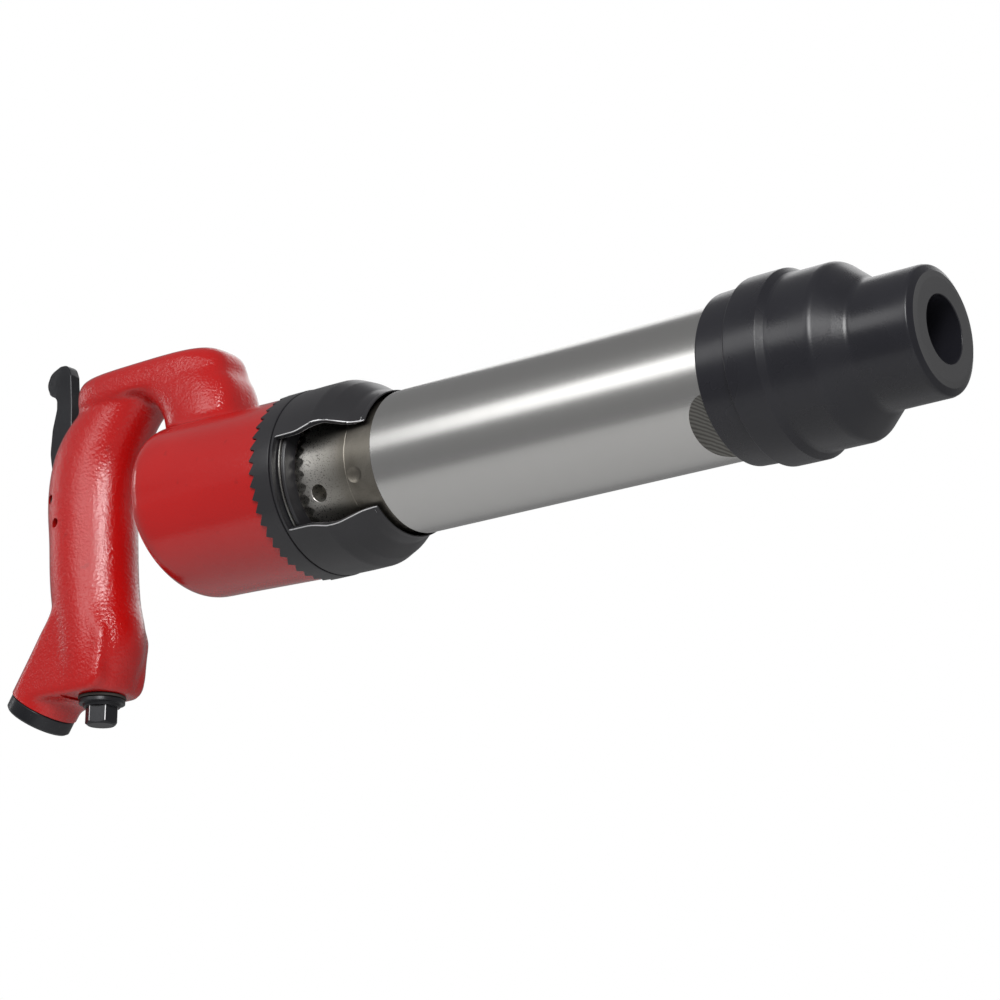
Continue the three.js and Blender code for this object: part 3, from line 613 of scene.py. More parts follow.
    def bevel(self, edges: list[bmesh.types.BMEdge], width: float, segments: int = 2, mark: int = 0,
              clamp: bool = True) -> "Shape":
        """Rounds edges.

        Args:
            edges: The edges.
            width: Width of the rounding.
            segments: Segments of the rounding.
            mark: Material number of the new faces.
            clamp: Whether the rounding narrows where edges are short.

        Returns:
            The shape.
        """
        made = bmesh.ops.bevel(
            self.bm, geom=edges, offset=width, offset_type="OFFSET", segments=segments, profile=0.5,
            affect="EDGES", clamp_overlap=clamp, material=-1,
        )
        for face in made["faces"]:
            face.material_index = mark
        return self

    def bevel_sharp(self, width: float, segments: int = 2, angle: float = 30.0, mark: int = 0) -> "Shape":
        """Rounds every edge that turns by more than an angle, marks the new faces and returns the shape."""
        sharp = [e for e in self.bm.edges if e.is_manifold and e.calc_face_angle(0.0) > math.radians(angle)]
        return self.bevel(sharp, width, segments, mark)

    def moved(self, matrix: Matrix) -> "Shape":
        """Moves or turns the shape and returns it."""
        bmesh.ops.transform(self.bm, matrix=matrix, verts=self.bm.verts)
        return self

    def warped(self, rule: Callable[[Vector], Vector]) -> "Shape":
        """Moves each corner by a rule and returns the shape."""
        for vert in self.bm.verts:
            vert.co = rule(vert.co)
        return self

    def with_others(self, *others: "Shape") -> "Shape":
        """Puts other shapes into the same mesh, uncut, and returns the shape."""
        for other in others:
            mesh = other.copied("spare")
            self.bm.from_mesh(mesh)
            bpy.data.meshes.remove(mesh)
        return self

    def copied(self, name: str) -> bpy.types.Mesh:
        """Copies the shape into a new mesh and returns it."""
        mesh = bpy.data.meshes.new(name)
        self.bm.to_mesh(mesh)
        return mesh

    def _evaluated(self, holder: Object, *scratch: Object) -> "Shape":
        """Takes a holder's mesh with its modifiers, and removes the scratch objects.

        Args:
            holder: Object whose modifiers are applied.
            *scratch: Objects that the modifiers used.

        Returns:
            The shape with its new mesh.
        """
        bpy.context.view_layer.update()
        made = holder.evaluated_get(bpy.context.evaluated_depsgraph_get()).to_mesh()
        self.bm.free()
        self.bm = bmesh.new()
        self.bm.from_mesh(made)
        for item in (holder, *scratch):
            mesh = item.data
            bpy.data.objects.remove(item)
            bpy.data.meshes.remove(mesh)
        return self

    def boolean(self, operation: str, *tools: "Shape") -> "Shape":
        """Joins with, cuts by or keeps only what is inside each tool in turn.

        Args:
            operation: UNION, DIFFERENCE or INTERSECT.
            *tools: The other solids.

        Returns:
            The shape.
        """
        for tool in tools:
            holder, cutter = linked("blank", self.copied("blank")), linked("tool", tool.copied("tool"))
            step = holder.modifiers.new("step", "BOOLEAN")
            step.operation = operation
            step.solver = "EXACT"
            step.object = cutter
            self._evaluated(holder, cutter)
        return self

    def cut(self, *tools: "Shape") -> "Shape":
        """Cuts by each tool and returns the shape."""
        return self.boolean("DIFFERENCE", *tools)

    def fused(self, voxel: float, passes: int) -> "Shape":
        """Melts overlapping solids into one skin with soft fillets, as a casting has.

        Args:
            voxel: Grid size of the new skin.
            passes: Smoothing passes.

        Returns:
            The shape.
        """
        holder = linked("blank", self.copied("blank"))
        melt = holder.modifiers.new("melt", "REMESH")
        melt.mode = "VOXEL"
        melt.voxel_size = voxel
        ease = holder.modifiers.new("ease", "SMOOTH")
        ease.factor = 0.5
        ease.iterations = passes
        return self._evaluated(holder)

    def piece(self, name: str, body: str, slot: Slot, materials: list[Material], nodes: tuple[str, ...],
              angle: float = 32.0, weighted: bool = True) -> Object:
        """Finishes the shape as a shown piece.

        Args:
            name: Piece name.
            body: CAD body it rides on.
            slot: Material slot of its finish; not used.
            materials: Materials in the order of the faces' material numbers.
            nodes: CAD nodes it stands for.
            angle: Edges that turn by more than this stay sharp.
            weighted: Whether big faces keep flat shading beside their bevels.

        Returns:
            The piece's object.
        """
        bmesh.ops.transform(self.bm, matrix=TO_ROW, verts=self.bm.verts)
        bmesh.ops.dissolve_degenerate(self.bm, edges=self.bm.edges, dist=1e-8)
        for face in self.bm.faces:
            face.smooth = True
        for edge in self.bm.edges:
            edge.smooth = edge.is_manifold and edge.calc_face_angle(0.0) < math.radians(angle)
        mesh = self.copied(name)
        self.bm.free()
        for material in materials:
            mesh.materials.append(material)
        made = linked(name, mesh)
        if weighted:
            even = made.modifiers.new("even", "WEIGHTED_NORMAL")
            even.keep_sharp = True
        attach(made, body)
        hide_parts(*nodes)
        log.info("%s: %d faces", name, len(mesh.polygons))
        return made


def angled(angle: float) -> Matrix:
    """Turns what lies on the -Y side of the barrel axis to an angle towards +Z."""
    return Matrix.Rotation(math.radians(-angle), 4, "X")


def upright(x: float) -> Matrix:
    """Stands a shape spun about X up at a place on the X axis, with its +X end upwards."""
    return Matrix.Translation((x, 0, 0)) @ Matrix.Rotation(math.radians(-90), 4, "Y")


def across(x: float, z: float) -> Matrix:
    """Lays a shape spun about X across the gun, with its +X end towards +Y."""
    return Matrix.Translation((x, 0, z)) @ Matrix.Rotation(math.radians(90), 4, "Z")


def outward(x: float, radius: float) -> Matrix:
    """Points a shape spun about X out to -Y from a radius on the barrel axis."""
    return Matrix.Translation((x, -radius, 0)) @ Matrix.Rotation(math.radians(-90), 4, "Z")


# ---- saw-tooth lock


@dataclass
class SawTeeth:
    """Ring of one-way teeth between the lock ring and the handle."""

    count: int = 46
    depth: float = 2.5
    root: float = 28.5
    steep: float = 0.23
    land: float = 0.015
    points: int = 8

    def ring(self, x: float, radius: float, share: float = 1.0) -> list[Vector]:
        """Points of a loop that follows the teeth.

        Args:
            x: Station of the face that the teeth stand on.
            radius: Radius of the loop.
            share: 1 for full teeth, 0 for a plain circle.

        Returns:
            The loop's points, counted from the -Y side towards +Z.
        """
        spots = []
        steps = self.points - 2
        slope = [self.steep + (1 - self.steep) * k / steps for k in range(1, steps)]
        end = 1 - self.land
        for tooth in range(self.count):
            for mark in (0.0, self.steep, *slope, end):
                turn = 2 * math.pi * (tooth + mark) / self.count
                fall = mark / self.steep if mark <= self.steep else (end - mark) / (end - self.steep)
                deep = x - self.depth * max(0.0, fall) * share
                spots.append(Vector((deep, -radius * math.cos(turn), radius * math.sin(turn))))
        return spots


@dataclass
class LockRing:
    """Satin black ring that screws over the barrel's collar and locks into the handle's teeth."""

    teeth: SawTeeth
    back: float = -254.5
    face: float = -247.5
    front: float = -243.4
    radius: float = 34.0
    hub: float = 30.3
    bore: float = 24.3
    groove: tuple[float, float, float] = (-245.7, -244.6, 29.7)
    clip: tuple[float, float, float, float] = (-245.5, -244.8, 30.0, 31.2)
    clip_turn: float = 346.0
    clip_start: float = 187.0

    def build(self, finishes: Finishes) -> None:
        """Builds the ring and its wire clip."""
        plain = [
            (self.back + 0.9, self.radius - 0.06), (self.back + 1.2, self.radius), (self.face - 0.5, self.radius),
            (self.face - 0.15, self.radius - 0.15), (self.face, self.radius - 0.5), (self.face, self.hub),
            (self.groove[0], self.hub), (self.groove[0], self.groove[2]), (self.groove[1], self.groove[2]),
            (self.groove[1], self.hub), (self.front - 0.9, self.hub - 0.02), (self.front - 0.45, self.hub - 0.12),
            (self.front - 0.12, self.hub - 0.45), (self.front, self.hub - 0.95), (self.front, self.bore + 0.3),
            (self.front - 0.3, self.bore), (self.back, self.bore), (self.back, self.teeth.root),
        ]
        rings = [
            self.teeth.ring(self.back, self.teeth.root),
            self.teeth.ring(self.back, self.radius - 0.25),
            self.teeth.ring(self.back + 0.25, self.radius),
        ]
        rings += [self.teeth.ring(x, r, 0.0) for x, r in plain[1:]]
        Shape.skinned(rings, closed=True).piece(
            "lock_ring_body", "gun", Slot.SATIN, [finishes.satin], ("lock_ring",), angle=28.0)
        back, front, inner, outer = self.clip
        outline = [(back, inner, 0.1), (back, outer, 0.2), (front, outer, 0.2), (front, inner, 0.1)]
        wire = Shape.spun(outline, 120, 2, self.clip_turn, self.clip_start)
        wire.piece("deflector_snap_ring", "gun", Slot.STEEL, [finishes.steel], ("deflector_clip",))


# ---- barrel


@dataclass
class Barrel:
    """Turned barrel with its blasted, fluted collar, exhaust ports, dimple and wrench flats."""

    tube: float = 25.4
    collar: float = 24.0
    neck: float = 22.0
    bore: float = 14.3
    step: float = COLLAR_STEP
    flat_distance: float = 21.5
    flat_start: float = -73.2
    flat_angle: float = -58.0
    cutter: float = 11.9
    flutes: int = 34
    flute: float = 2.18
    port: float = 3.2
    ports: tuple[float, float, int] = (-235.0, -29.0, 4)
    dimple: tuple[float, float, float, float] = (-217.6, -21.0, 3.2, 1.6)

    def _flutes(self) -> Shape:
        """Half-round grooves with tapering ends, all in one tool."""
        tools = Shape()
        outline = [(-262, 0, 0), (-262, self.flute, 0), (-242.1, self.flute, 0), (-240.3, 0.9, 0.5), (-239.9, 0, 0)]
        for i in range(self.flutes):
            bar = Shape.spun(outline, 20, 4)
            bar.moved(Matrix.Translation((0, -self.collar, 0)))
            tools.with_others(bar.moved(angled(i * 360 / self.flutes)))
        return tools

    def _drills(self) -> Shape:
        """The exhaust ports, with a slight countersink, and the conical dimple, all in one tool."""
        tools = Shape()
        x, angle, count = self.ports
        for i in range(count):
            outline = [(0, 0, 0), (0, self.port, 0), (12.75, self.port, 0), (14, self.port + 1.25, 0), (14, 0, 0)]
            drill = Shape.spun(outline, 48, 2).moved(outward(x, 11))
            tools.with_others(drill.moved(angled(angle + i * 360 / count)))
        x, angle, radius, depth = self.dimple
        outline = [(0, 0, 0), (depth, radius, 0), (depth + 1.0, radius + 1.6, 0), (depth + 1.0, 0, 0)]
        cone = Shape.spun(outline, 48, 2).moved(outward(x, self.collar - depth))
        return tools.with_others(cone.moved(angled(angle)))

    def _flat(self, angle: float) -> Shape:
        """The slab that mills one wrench flat, with the cutter's curved run-out."""
        high = self.flat_distance + self.cutter
        run = [(self.flat_start - self.cutter * math.sin(a), high - self.cutter * math.cos(a), 0.0)
               for a in (math.radians(k * 4.5) for k in range(21))]
        outline = [(-30.0, self.flat_distance, 0.0), *run, (-30.0, high, 0.0)]
        return Shape.slab(outline, self.tube, steps=1).moved(Matrix.Rotation(math.radians(90 - angle), 4, "X"))

    def build(self, finishes: Finishes) -> None:
        """Builds the barrel and marks its milled faces."""
        outline = [
            (-277, self.bore, 0), (-277, 21.2, 0.8), (-258, 21.2, 0), (-258, self.collar, 0.6),
            (-246, self.collar, 0), (-246, 22.0, 0), (-242.3, 22.0, 0), (-242.3, self.collar, 0.25),
            (-221.3, self.collar, 0.05), (-221.15, self.collar - 0.16, 0), (-221.0, self.collar, 0.05),
            (self.step, self.collar, 0.15), (self.step, self.tube - 0.8, 0.15), (self.step + 0.8, self.tube, 0.2),
            (-60.5, self.tube, 0.3), (-60.5, self.neck, 0.3), (-32, self.neck, 0.8), (-32, 12.9, 0),
            (-84.3, 12.9, 0), (-84.3, self.bore, 0),
        ]
        barrel = Shape.spun(outline, 180, 3)
        barrel.cut(self._flutes(), self._drills(), self._flat(self.flat_angle), self._flat(self.flat_angle + 180))
        for angle in (self.flat_angle, self.flat_angle + 180):
            out = angled(angle) @ Vector((0, -1, 0))
            for face in barrel.bm.faces:
                middle = face.calc_center_median()
                deep = middle.dot(out) < self.tube - 0.02
                if deep and -86 < middle.x < -60.4 and face.normal.dot(out) > 0.3:
                    level = Vector((0, face.normal.y, face.normal.z)).normalized().dot(out)
                    face.material_index = int(abs(level - 1) < 1e-4)
        barrel.piece("barrel_tube", "gun", Slot.BARREL, [finishes.barrel, finishes.milled], ("barrel",), angle=24.0)


# ---- nose


@dataclass
class NoseBoot:
    """Moulded rubber boot over the retainer cap."""

    hole: float = 10.9

    def build(self, finishes: Finishes) -> None:
        """Builds the boot."""
        outline = [
            (-72.5, 25.7, 0), (-72.5, 28.3, 0.9), (-66, 28.55, 0), (-61.2, 28.75, 0.3), (-60.9, 28.95, 0.2),
            (-60.35, 30.75, 0.7), (-55, 30.8, 0), (-48.6, 30.8, 0.5), (-46.6, 29.1, 0.25), (-46.2, 28.95, 0.15),
            (-45.3, 28.8, 0.3), (-31.2, 28.8, 4.2), (-25.4, 24.0, 3.0), (-21.6, 20.95, 4.0), (-2.9, 20.85, 0),
            (-1.6, 20.5, 1.0), (-0.35, 18.2, 1.2), (-0.005, 16.4, 0.6), (-0.005, self.hole, 0.35),
            (-15.2, self.hole, 0), (-15.2, 18.3, 0), (-22, 18.3, 0), (-27.6, 25.7, 0),
        ]
        boot = Shape.spun(outline, 180, 8)
        # Faces on the front take the lighter face finish: matt rubber painted lighter, as painted light for the light
        # that face catches.
        for face in boot.bm.faces:
            face.material_index = int(face.normal.x > 0.9 and face.calc_center_median().x > -1.0)
        boot.piece("nose_boot_rubber", "gun", Slot.RUBBER, [finishes.rubber, finishes.moulded], ("nose_boot",), 38.0)


@dataclass
class ExhaustDeflector:
    """Bell-shaped shell that turns on the lock ring's hub and opens to one side."""

    back: float = -247.2
    front: float = -211.5
    rear_angles: tuple[float, float] = (-44.5, 14.0)
    front_angles: tuple[float, float] = (-50.0, 22.0)
    window_from: float = -246.0
    lip: float = 0.3

    def _window(self) -> Shape:
        """The opening's tool: straight for its first third, then a soft wave out to the front edge."""
        def edge(low: float, high: float, t: float) -> float:
            """Angle of one side at a share of the way along."""
            step = min(1.0, max(0.0, (t - 0.2) / 0.35))
            swell = step * step * (3 - 2 * step)
            late = min(1.0, max(0.0, (t - 0.62) / 0.38))
            return low + (high - low) * (0.72 * swell + 0.28 * late * late)

        rings = []
        rows, columns = 40, 24
        for i in range(rows + 1):
            t = i / rows
            x = self.window_from + (self.front + 4 - self.window_from) * t
            bottom, top = (edge(low, high, t) for low, high in zip(self.rear_angles, self.front_angles))
            sweep = [bottom + (top - bottom) * k / columns for k in range(columns + 1)]
            outer = [angled(a) @ Vector((x, -38, 0)) for a in sweep]
            inner = [angled(a) @ Vector((x, -22, 0)) for a in reversed(sweep)]
            rings.append(outer + inner)
        return Shape.skinned(rings)

    def build(self, finishes: Finishes) -> None:
        """Builds the shell."""
        outline = [
            (self.back, 30.6, 0.1), (self.back, 33.7, 0.35), (-238, 33.75, 0), (-229.5, 33.65, 5), (-224.2, 31.6, 5),
            (-217.5, 27.4, 6), (-213.2, 26.3, 1.0), (self.front, 26.15, 0.2), (self.front, 25.7, 0.1),
            (-216.5, 25.75, 0.6), (-220.6, 27.2, 4), (-226.5, 30.6, 4), (-232, 31.6, 3), (-246, 31.6, 0.1),
            (-246, 30.6, 0.1),
        ]
        shell = Shape.spun(outline, 180, 7).cut(self._window())
        near = [v for v in shell.bm.verts if self._on_window(v.co)]
        bmesh.ops.remove_doubles(shell.bm, verts=near, dist=0.15)
        rim = [e for e in shell.bm.edges if e.is_manifold and e.calc_face_angle(0.0) > math.radians(50)
               and any(self._on_window(v.co) for v in e.verts)]
        # The lips' bevels take the light edge finish: partly bare-metal wear, partly a painted highlight along the
        # window's edges.
        shell.bevel(rim, self.lip, 2, 1, clamp=False)
        shell.piece("exhaust_deflector_shell", "deflector", Slot.SATIN, [finishes.satin, finishes.worn_and_painted_highlight],
                    ("exhaust_deflector",), 34.0)

    @staticmethod
    def _on_window(spot: Vector) -> bool:
        """Whether a corner lies round the window's sides, away from the rim and the front edge."""
        angle = math.degrees(math.atan2(spot.z, -spot.y))
        return -52 < angle < 24 and -245.7 < spot.x < -211.8


# ---- air inlet and throttle


@dataclass
class Inlet:
    """Black bushing at the slanted foot of the grip."""

    x: float = -397.3
    z: float = -66.3
    tilt: float = 35.0
    bore: float = 7.4
    turns: int = 9
    pitch: float = 1.41

    def placed(self, shape: Shape) -> Shape:
        """Moves a shape spun about X onto the inlet's axis, with 0 on its outer face and +X into the grip."""
        turn = Matrix.Rotation(math.radians(-(90 - self.tilt)), 4, "Y")
        return shape.moved(Matrix.Translation((self.x, 0, self.z)) @ turn)

    def build(self, finishes: Finishes) -> None:
        """Builds the bushing with thread grooves in its mouth."""
        thread = []
        for i in range(self.turns):
            start = 14.4 - i * self.pitch
            thread += [(start, self.bore, 0), (start - 0.7, self.bore + 0.75, 0)]
        outline = [
            (0.9, self.bore + 0.15, 0), (0, self.bore + 0.95, 0.1), (0, 12.1, 0.25), (0.85, 12.93, 0.25),
            (5.6, 12.95, 0.3), (6.0, 12.6, 0), (6.0, 9.7, 0), (20, 9.7, 0), (20, self.bore, 0), *thread,
        ]
        self.placed(Shape.spun(outline, 96, 4)).piece(
            "inlet_bushing_ring", "gun", Slot.OXIDE, [finishes.oxide], ("inlet_bushing",))


@dataclass
class Throttle:
    """Hex plug, gasket, pins and the outside lever."""

    valve_x: float = -362.0
    pivot: tuple[float, float] = (-382.5, 16.5)
    stop: tuple[float, float] = (-377.9, 6.0)
    pin: float = 1.6
    lever_half: float = 2.5
    hex_corner: float = 6.3
    hex_height: float = 7.0
    hex_middle: float = -69.5

    def _plug(self, finishes: Finishes) -> None:
        """Hex-headed plug with a thin flange and a blind hole for the spring, and the gasket above it."""
        outline = [(-66.2, 0, 0), (-66.2, 6.9, 0.3), (-65.0, 7.2, 0.3), (-65.0, 8.7, 0.25), (-63.4, 8.7, 0.3),
                   (-63.4, 6.2, 0), (-50, 6.2, 0.2), (-50, 5.7, 0), (-53.6, 5.7, 0), (-53.6, 0, 0)]
        body = Shape.spun(outline, 72, 3).moved(upright(self.valve_x))
        head = Shape()
        bmesh.ops.create_cone(head.bm, cap_ends=True, segments=6, radius1=self.hex_corner, radius2=self.hex_corner,
                              depth=self.hex_height)
        # The hex head's bevels take the light edge finish: partly bare-metal wear, partly a painted highlight on its
        # edges.
        head.moved(Matrix.Translation((self.valve_x, 0, self.hex_middle))).bevel_sharp(0.22, 2, mark=1)
        dome = Shape.spun([(-73.5, 0, 0), (-73.5, 4.4, 0), (-71.7, 6.6, 0), (-64, 6.6, 0), (-64, 0, 0)], 72, 2)
        head.boolean("INTERSECT", dome.moved(upright(self.valve_x)))
        body.boolean("UNION", head).piece(
            "throttle_plug_hex", "gun", Slot.OXIDE, [finishes.oxide, finishes.worn_and_painted_highlight], ("throttle_plug",), 26.0)
        gasket = Shape.spun([(-63.1, 6.5, 0), (-63.1, 9.0, 0.25), (-62.1, 9.0, 0.25), (-62.1, 6.5, 0)], 72, 3)
        gasket.moved(upright(self.valve_x)).piece(
            "plug_gasket_ring", "gun", Slot.FIBRE, [finishes.fibre], ("plug_gasket",))

    def _pins(self, finishes: Finishes) -> None:
        """The lever's pivot pin and stop pin."""
        for name, place in (("pivot", self.pivot), ("stop", self.stop)):
            pin = Shape.bar(self.pin, -11.2, 11.2, 32, 0.25).moved(across(*place))
            pin.piece(f"{name}_pin_steel", "gun", Slot.STEEL, [finishes.brown], (f"lever_{name}_pin",))

    def _lever(self, finishes: Finishes) -> None:
        """The flat forged lever: thumb lobe, blade, pivot boss, toe and heel."""
        x, z = self.pivot
        blade = [
            (-385.6, 71, 2.5), (-387.6, 75.6, 4), (-392.5, 76.15, 4), (-398.3, 74.5, 4), (-400.4, 69.6, 4),
            (-397.8, 65.0, 4), (-393.2, 62.6, 3), (-392.9, 58, 4), (-394.8, 50, 12), (-395.4, 40, 14), (-393.2, 30, 14),
            (-388.7, 20, 8), (-386.4, 12.6, 3), (-380.6, 12.2, 3), (-378.8, 17, 3), (-381, 25, 12), (-383.4, 40, 20),
            (-384.2, 58, 20),
        ]
        body = Shape.slab(blade, self.lever_half, 0.55, 3, 8)
        self._taper_lobe(body)
        toe = Shape.slab([(x, z - 3.6, 0), (self.valve_x, 9.8, 0), (self.valve_x, 16.8, 0), (x, z + 4.4, 0)], 2.3)
        heel = Shape.slab([(-386.2, 15, 0), (-384.6, 4, 0.8), (-380.8, 4, 0.8), (-379.8, 6, 0.8), (-379.8, 15, 0)], 2.3)
        tip = Shape.bar(3.5, -2.3, 2.3, 40).moved(across(self.valve_x, 13.3))
        boss = Shape.bar(4.4, -self.lever_half + 0.01, self.lever_half - 0.01, 48, 0.3).moved(across(x, z))
        hole = Shape.bar(self.pin + 0.3, -8, 8, 32).moved(across(x, z))
        body.boolean("UNION", boss, toe, tip, heel).cut(hole)
        body.piece("throttle_lever_forged", "lever", Slot.OXIDE, [finishes.oxide], ("throttle_lever",), 26.0)

    def _taper_lobe(self, body: Shape) -> None:
        """Slopes both sides of the thumb lobe down to its rear edge, from a crease."""
        crease, slope = Vector((-391.2, 0, 70)), Vector((-0.93, 0, 0.36))
        geom = body.bm.verts[:] + body.bm.edges[:] + body.bm.faces[:]
        bmesh.ops.bisect_plane(body.bm, geom=geom, plane_co=crease, plane_no=slope)
        for vert in body.bm.verts:
            past = (vert.co - crease).dot(slope)
            if past > 0 and vert.co.z > 61:
                vert.co.y *= 1 - 0.42 * min(1.0, past / 7.5)

    def build(self, finishes: Finishes) -> None:
        """Builds every throttle piece that shows."""
        self._plug(finishes)
        self._pins(finishes)
        self._lever(finishes)


# ---- handle


@dataclass
class Handle:
    """Cast D handle: grip, web, round body and inlet boss in one enamelled piece."""

    teeth: SawTeeth
    inlet: Inlet
    throttle: Throttle
    body_radius: float = 33.0
    front: float = -254.8
    bottom: float = -61.8
    skin: tuple[float, int] = (0.95, 28)
    quick_skin: tuple[float, int] = (1.7, 9)
    grip: list[Station] = field(default_factory=lambda: [
        (-62.5, -365.6, 14.4, 12.9, 2.6, 2.3), (-56, -364.5, 15.5, 13.8, 2.6, 2.15),
        (-46, -362.6, 16.8, 14.5, 2.6, 2.05), (-36, -363.5, 17.4, 14.6, 2.6, 2.05),
        (-26, -366.6, 17.8, 14.5, 2.6, 2.05), (-14, -368.5, 18.0, 14.5, 2.6, 2.05),
        (0, -369.7, 18.2, 14.4, 2.6, 2.05), (14, -371.2, 18.6, 14.3, 2.6, 2.1), (26, -370.7, 19.3, 14.0, 2.5, 2.1),
        (36, -367.3, 20.5, 13.6, 2.5, 2.1), (44, -362.4, 21.3, 12.9, 2.4, 2.15), (50, -356.0, 21.6, 12.0, 2.4, 2.2),
        (55, -349, 20.6, 10.6, 2.4, 2.4),
    ])
    top_plate: list[Station] = field(default_factory=lambda: [
        (51.2, -337.0, 37.0, 13.2, 4.2, 3.6), (52.4, -336.5, 38.4, 13.7, 4.2, 3.6), (55, -336.3, 38.8, 13.8, 4.2, 3.6),
        (58, -336.7, 38.2, 13.8, 4.2, 3.6), (60.6, -337.2, 37.0, 13.5, 4.0, 3.6), (62.6, -337.6, 34.6, 12.2, 3.8, 3.4),
        (63.7, -337.8, 31.0, 9.0, 3.6, 3.2),
    ])
    leg: list[Station] = field(default_factory=lambda: [
        (16, -302.0, 19.5, 17.0, 3.0, 3.0), (22, -303.4, 17.9, 15.6, 2.8, 3.0), (30, -307.3, 18.3, 14.7, 2.6, 3.0),
        (38, -309.4, 18.4, 14.3, 2.6, 3.1), (44.6, -312.4, 19.8, 14.0, 2.8, 3.1), (49.2, -316.2, 21.6, 13.8, 3.2, 3.2),
        (52, -320.4, 23.8, 13.4, 3.4, 3.4), (58, -320.5, 21.9, 12.9, 3.4, 3.4),
    ])

    def _body(self) -> Shape:
        """Round body with a rounded back that leans rearwards at the top."""
        outline = [(-236, 0, 0), (-236, 33.1, 0), (-258, 33.1, 0), (-300, 32.0, 0), (-322.7, 31.6, 10.5),
                   (-322.7, 0, 0)]

        def lean(spot: Vector) -> Vector:
            """Leans the back face over: rearwards at the top and forwards under its middle."""
            share = max(0.0, min(1.0, (self.front - spot.x) / 68))
            shoulder = 1 + 0.28 * share * max(0.0, spot.z) * abs(spot.y) / self.body_radius**2
            moved = share * (0.16 * max(0.0, -spot.z - 6) - 0.05 * spot.z - 0.5)
            return Vector((spot.x + moved, spot.y * shoulder, spot.z * shoulder))

        return Shape.spun(outline, 120, 10).warped(lean)

    def _heel(self) -> Shape:
        """Fills the sides between the grip and the inlet boss."""
        corners = [(-377, -24, 4), (-398.5, -57.5, 2), (-388.5, -62.0, 2), (-352, -62.3, 6), (-350, -40, 4),
                   (-360, -22, 4)]
        return Shape.slab(corners, 13.3, 4.5, 4)

    def _slot(self) -> Shape:
        """The slot that the lever swings in."""
        corners = [
            (-404, 2, 0), (-374.5, 2, 0), (-374.5, 6.6, 0), (-357.8, 6.6, 0), (-357.8, 21.5, 0), (-375.6, 21.5, 0),
            (-373.8, 30, 0), (-370, 44, 0), (-367.6, 52, 2), (-375.5, 58, 0), (-404, 58, 0),
        ]
        return Shape.slab(corners, 2.9, steps=4)

    def _bores(self) -> list[Shape]:
        """Holes for the barrel, valve, pins and inlet bushing."""
        x = self.throttle.valve_x
        barrel = Shape.spun(
            [(-306, 0, 0), (-306, 21.5, 0), (-258, 21.5, 0), (-258, 28.2, 0), (-230, 28.2, 0), (-230, 0, 0)], 96, 1)
        valve = Shape.spun([(-80, 0, 0), (-80, 6.5, 0), (-20.1, 6.5, 0), (-20.1, 5, 0), (2.3, 5, 0), (2.3, 1.8, 0),
                            (10, 1.8, 0), (10, 0, 0)], 48, 1)
        inlet = Shape.spun([(-1, 0, 0), (-1, 10, 0), (22, 10, 0), (22, 5, 0), (38, 4.6, 0), (38, 0, 0)], 48, 1)
        places = (self.throttle.pivot, self.throttle.stop)
        pins = [Shape.bar(self.throttle.pin + 0.3, -30, 30, 32).moved(across(*place)) for place in places]
        return [barrel, valve.moved(upright(x)), self.inlet.placed(inlet), *pins]

    def _crown(self) -> Shape:
        """Tool that takes off the front of the body along the teeth."""
        inner, outer, ahead = 27.6, 40.0, -228.0
        return Shape.skinned([
            self.teeth.ring(self.front, inner), self.teeth.ring(self.front, outer),
            self.teeth.ring(ahead, outer, 0.0), self.teeth.ring(ahead, inner, 0.0),
        ], closed=True)

    def _foot(self) -> list[Shape]:
        """Tools that face off the bottom for the plug and the boss for its bushing."""
        back, ahead, low = self.throttle.valve_x - 10.5, -330, -90
        trim = Shape.slab([(back, self.bottom, 0), (ahead, self.bottom, 0), (ahead, low, 0), (back, low, 0)], 30)
        return [trim, self.inlet.placed(Shape.bar(30, -20, 6.3, 48))]

    def build(self, finishes: Finishes) -> None:
        """Builds the casting."""
        boss = self.inlet.placed(Shape.spun([(0, 0, 0), (0, 13.45, 0), (34, 13.4, 4), (48, 6, 4), (50, 0, 0)], 72, 5))
        casting = Shape.lofted(self.grip)
        skin = self.skin
        top_plate, leg = Shape.lofted(self.top_plate, 30), Shape.lofted(self.leg, 40)
        casting.with_others(top_plate, leg, self._body(), self._heel(), boss).fused(*skin)
        casting.cut(self._crown(), *self._foot(), self._slot(), *self._bores())
        casting.piece("handle_casting", "gun", Slot.ENAMEL, [finishes.enamel], ("handle",), 40.0, weighted=False)


# ---- carried-over CAD pieces


@dataclass
class Internals:
    """CAD nodes inside the gun that stay as they are, with a finish."""

    steel: tuple[str, ...] = (
        "shank_bushing", "piston", "retainer_cap", "valve_block", "valve_plate", "valve_dowel", "shuttle_valve",
        "push_pin", "throttle_spring",
    )
    bronze: tuple[str, ...] = ("inlet_screen", "throttle_seat", "push_pin_bushing", "throttle_valve")
    rubber: tuple[str, ...] = ("throttle_valve_seal",)

    def build(self, finishes: Finishes) -> None:
        """Gives each node its finish."""
        named = {name: finishes.steel for name in self.steel}
        named |= {name: finishes.bronze for name in self.bronze} | {name: finishes.rubber for name in self.rubber}
        for name, material in named.items():
            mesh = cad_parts[name].data
            mesh.materials.clear()
            mesh.materials.append(material)
            log.info("%s: finished", name)


# ---- studio


@dataclass(frozen=True)
class Lamp:
    """A soft rectangular light that faces a point.

    Attributes:
        name: Its name.
        at: Where it stands.
        target: The point it faces.
        size: Its width and height.
        power: Its power in watts.
    """

    name: str
    at: Triple
    target: Triple
    size: tuple[float, float]
    power: float

    def build(self) -> None:
        """Adds the light."""
        data = bpy.data.lights.new(self.name, "AREA")
        data.shape = "RECTANGLE"
        data.size, data.size_y = self.size
        data.energy = self.power
        made = linked(self.name, data)
        made.location = self.at
        made.rotation_euler = (Vector(self.target) - Vector(self.at)).to_track_quat("-Z", "Y").to_euler()


